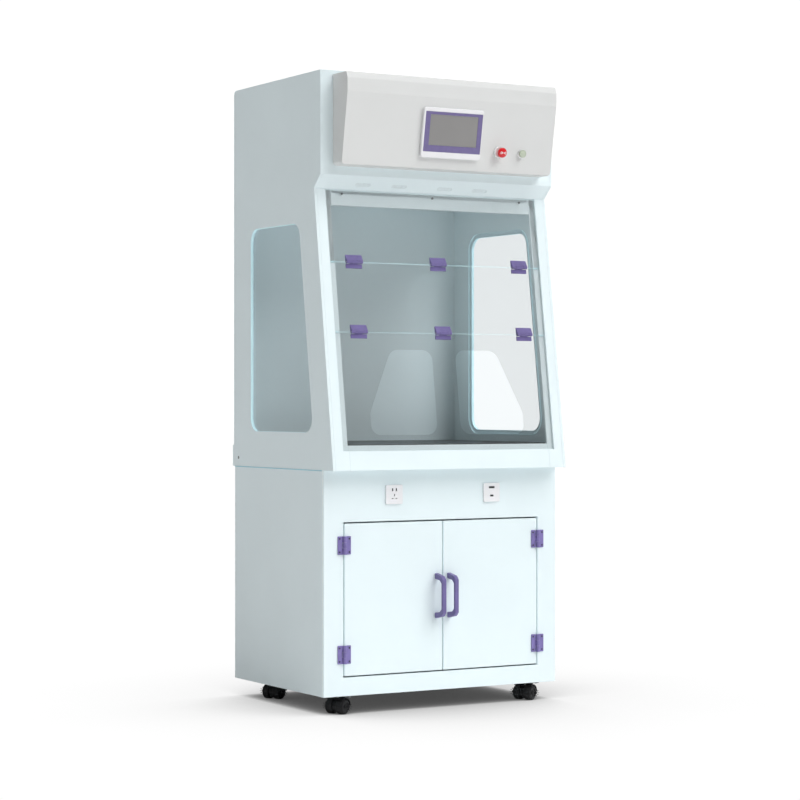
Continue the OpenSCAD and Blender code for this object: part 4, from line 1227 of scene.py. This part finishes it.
def build_stage():
    """Pale floor, white surroundings, a soft key from the upper right and the camera."""
    scene = bpy.context.scene
    scene.view_settings.view_transform = "Standard"
    bm = bmesh.new()
    box_into(bm, (-60, -60, -0.05), (60, 60, 0.0))
    floor = new_object("floor", bm, [floor_paint])
    world = bpy.data.worlds.new("studio")
    world.use_nodes = True
    scene.world = world
    tree = world.node_tree
    glow = tree.nodes["Background"]
    glow.inputs["Color"].default_value = (1.0, 1.0, 1.0, 1.0)
    glow.inputs["Strength"].default_value = 0.21
    seen = add_node(tree, "ShaderNodeBackground", Color=(1.0, 1.0, 1.0, 1.0), Strength=1.05)
    rays = tree.nodes.new("ShaderNodeLightPath")
    mix = tree.nodes.new("ShaderNodeMixShader")
    wire(tree, (rays, "Is Camera Ray", mix, 0), (glow, "Background", mix, 1),
         (seen, "Background", mix, 2), (mix, "Shader", tree.nodes["World Output"], "Surface"))
    add_sun("key", 1.80, (0.40, -0.64, 0.62), 42)
    add_sun("overhead", 1.42, (0.1, -0.15, 1.0), 60)
    camera = bpy.data.cameras.new("camera")
    camera.lens = 105.9
    camera.sensor_width = 36.0
    camera.clip_end = 200.0
    eye = bpy.data.objects.new("camera", camera)
    eye.location = (-4.0677, -6.9719, 1.021)
    eye.rotation_euler = (math.radians(90), 0.0, math.radians(-30.3))
    scene.collection.objects.link(eye)
    scene.camera = eye


def floor_paint():
    """Pale paint; camera rays see a painted white glow with a painted shadow that darkens where the unit stands
    close over it.
    """
    finish = Finish("floor_paint", (0.95, 0.95, 0.95), 0.9)
    finish.shade(finish.noise(3, 2), 0.005)
    tree, nodes = finish.tree, finish.tree.nodes
    # Occlusion under the unit sets the floor's painted shadow.
    hidden = nodes.new("ShaderNodeAmbientOcclusion")
    hidden.samples = 16
    hidden.inputs["Distance"].default_value = 1.5
    curve = nodes.new("ShaderNodeValToRGB")
    stops = curve.color_ramp.elements
    stops[0].position, stops[0].color = 0.02, (0.06, 0.06, 0.06, 1.0)
    stops[1].position, stops[1].color = 0.91, (1.01, 1.01, 1.01, 1.0)
    for place, level in ((0.25, 0.19), (0.5, 0.61), (0.75, 0.92)):
        stops.new(place).color = (level, level, level, 1.0)
    wire(tree, (hidden, "AO", curve, "Fac"))
    # Camera rays see this painted glow and painted shadow instead of the lit floor.
    painted_floor_glow = nodes.new("ShaderNodeEmission")
    wire(tree, (curve, "Color", painted_floor_glow, "Color"))
    rays = nodes.new("ShaderNodeLightPath")
    mix = nodes.new("ShaderNodeMixShader")
    wire(tree, (rays, "Is Camera Ray", mix, 0), (finish.shader, "BSDF", mix, 1),
         (painted_floor_glow, "Emission", mix, 2), (mix, "Shader", nodes["Material Output"], "Surface"))
    return finish.material


def add_sun(name, strength, towards, spread):
    """A soft sun that shines from that direction, spread over so many degrees."""
    lamp = bpy.data.lights.new(name, "SUN")
    lamp.energy = strength
    lamp.angle = math.radians(spread)
    obj = bpy.data.objects.new(name, lamp)
    obj.visible_glossy = False
    obj.rotation_mode = "QUATERNION"
    obj.rotation_quaternion = Vector(towards).to_track_quat("Z", "Y")
    bpy.context.scene.collection.objects.link(obj)


# ---- Operators and panel --------------------------------------------------------


class HoodStep:
    """What every building step shares."""

    bl_options = {"REGISTER", "UNDO"}
    makers = ()

    def execute(self, context):
        for maker in self.makers:
            maker()
        return {"FINISHED"}


class HOOD_OT_stage(HoodStep, bpy.types.Operator):
    """Make the floor, the light and the camera"""

    bl_idname, bl_label = "hood.stage", "Stage"
    makers = (build_stage,)


class HOOD_OT_cabinet(HoodStep, bpy.types.Operator):
    """Make the cabinet's sheets, shelf and welds"""

    bl_idname, bl_label = "hood.cabinet", "Cabinet"
    makers = (build_cabinet,)


class HOOD_OT_doors(HoodStep, bpy.types.Operator):
    """Make the doors with their handles and hinges"""

    bl_idname, bl_label = "hood.doors", "Doors, handles and hinges"
    makers = (build_doors, build_handles, build_door_hinges)


class HOOD_OT_sockets(HoodStep, bpy.types.Operator):
    """Make the socket plates"""

    bl_idname, bl_label = "hood.sockets", "Sockets"
    makers = (build_sockets,)


class HOOD_OT_casters(HoodStep, bpy.types.Operator):
    """Make the four twin-wheel casters"""

    bl_idname, bl_label = "hood.casters", "Casters"
    makers = (build_casters,)


class HOOD_OT_shell(HoodStep, bpy.types.Operator):
    """Make the hood's sheets, its exhaust grille and its side windows"""

    bl_idname, bl_label = "hood.shell", "Hood shell"
    makers = (build_hood, build_grille, build_side_windows)


class HOOD_OT_window(HoodStep, bpy.types.Operator):
    """Make the slanted window with its sashes, hinges and screws"""

    bl_idname, bl_label = "hood.window", "Window"
    makers = (build_window_frame, build_sashes, build_window_hinges, build_case_screws)


class HOOD_OT_chamber(HoodStep, bpy.types.Operator):
    """Make the worktop, the ceiling and the lamp"""

    bl_idname, bl_label = "hood.chamber", "Work chamber"
    makers = (build_worktop, build_chamber)


class HOOD_OT_air(HoodStep, bpy.types.Operator):
    """Make the filters, the fan and the control box"""

    bl_idname, bl_label = "hood.air", "Filters and fan"
    makers = (build_air_system,)


class HOOD_OT_fascia(HoodStep, bpy.types.Operator):
    """Make the control fascia with its touch panel and buttons"""

    bl_idname, bl_label = "hood.fascia", "Control fascia"
    makers = (build_fascia, build_touch_panel, build_buttons)


class HOOD_OT_inlet(HoodStep, bpy.types.Operator):
    """Make the mains inlet"""

    bl_idname, bl_label = "hood.inlet", "Mains inlet"
    makers = (build_inlet,)


STEPS = (HOOD_OT_stage, HOOD_OT_cabinet, HOOD_OT_doors, HOOD_OT_sockets, HOOD_OT_casters,
         HOOD_OT_shell, HOOD_OT_window, HOOD_OT_chamber, HOOD_OT_air, HOOD_OT_fascia, HOOD_OT_inlet)


class HOOD_PT_panel(bpy.types.Panel):
    """Lists the sizes, the colours and the building steps"""

    bl_idname = "HOOD_PT_panel"
    bl_label = "Fume hood"
    bl_space_type = "VIEW_3D"
    bl_region_type = "UI"
    bl_category = "Fume hood"

    def draw(self, context):
        for group in (context.scene.hood_sizes, context.scene.hood_colours):
            for name in group.__annotations__:
                self.layout.prop(group, name)
        for step in STEPS:
            self.layout.operator(step.bl_idname)


CLASSES = (HoodSizes, HoodColours, *STEPS, HOOD_PT_panel)


def register():
    for cls in CLASSES:
        bpy.utils.register_class(cls)
    bpy.types.Scene.hood_sizes = PointerProperty(type=HoodSizes)
    bpy.types.Scene.hood_colours = PointerProperty(type=HoodColours)


def unregister():
    del bpy.types.Scene.hood_colours
    del bpy.types.Scene.hood_sizes
    for cls in reversed(CLASSES):
        bpy.utils.unregister_class(cls)


def main():
    register()
    for step in STEPS:
        group, name = step.bl_idname.split(".")
        getattr(getattr(bpy.ops, group), name)()


if __name__ == "__main__":
    main()
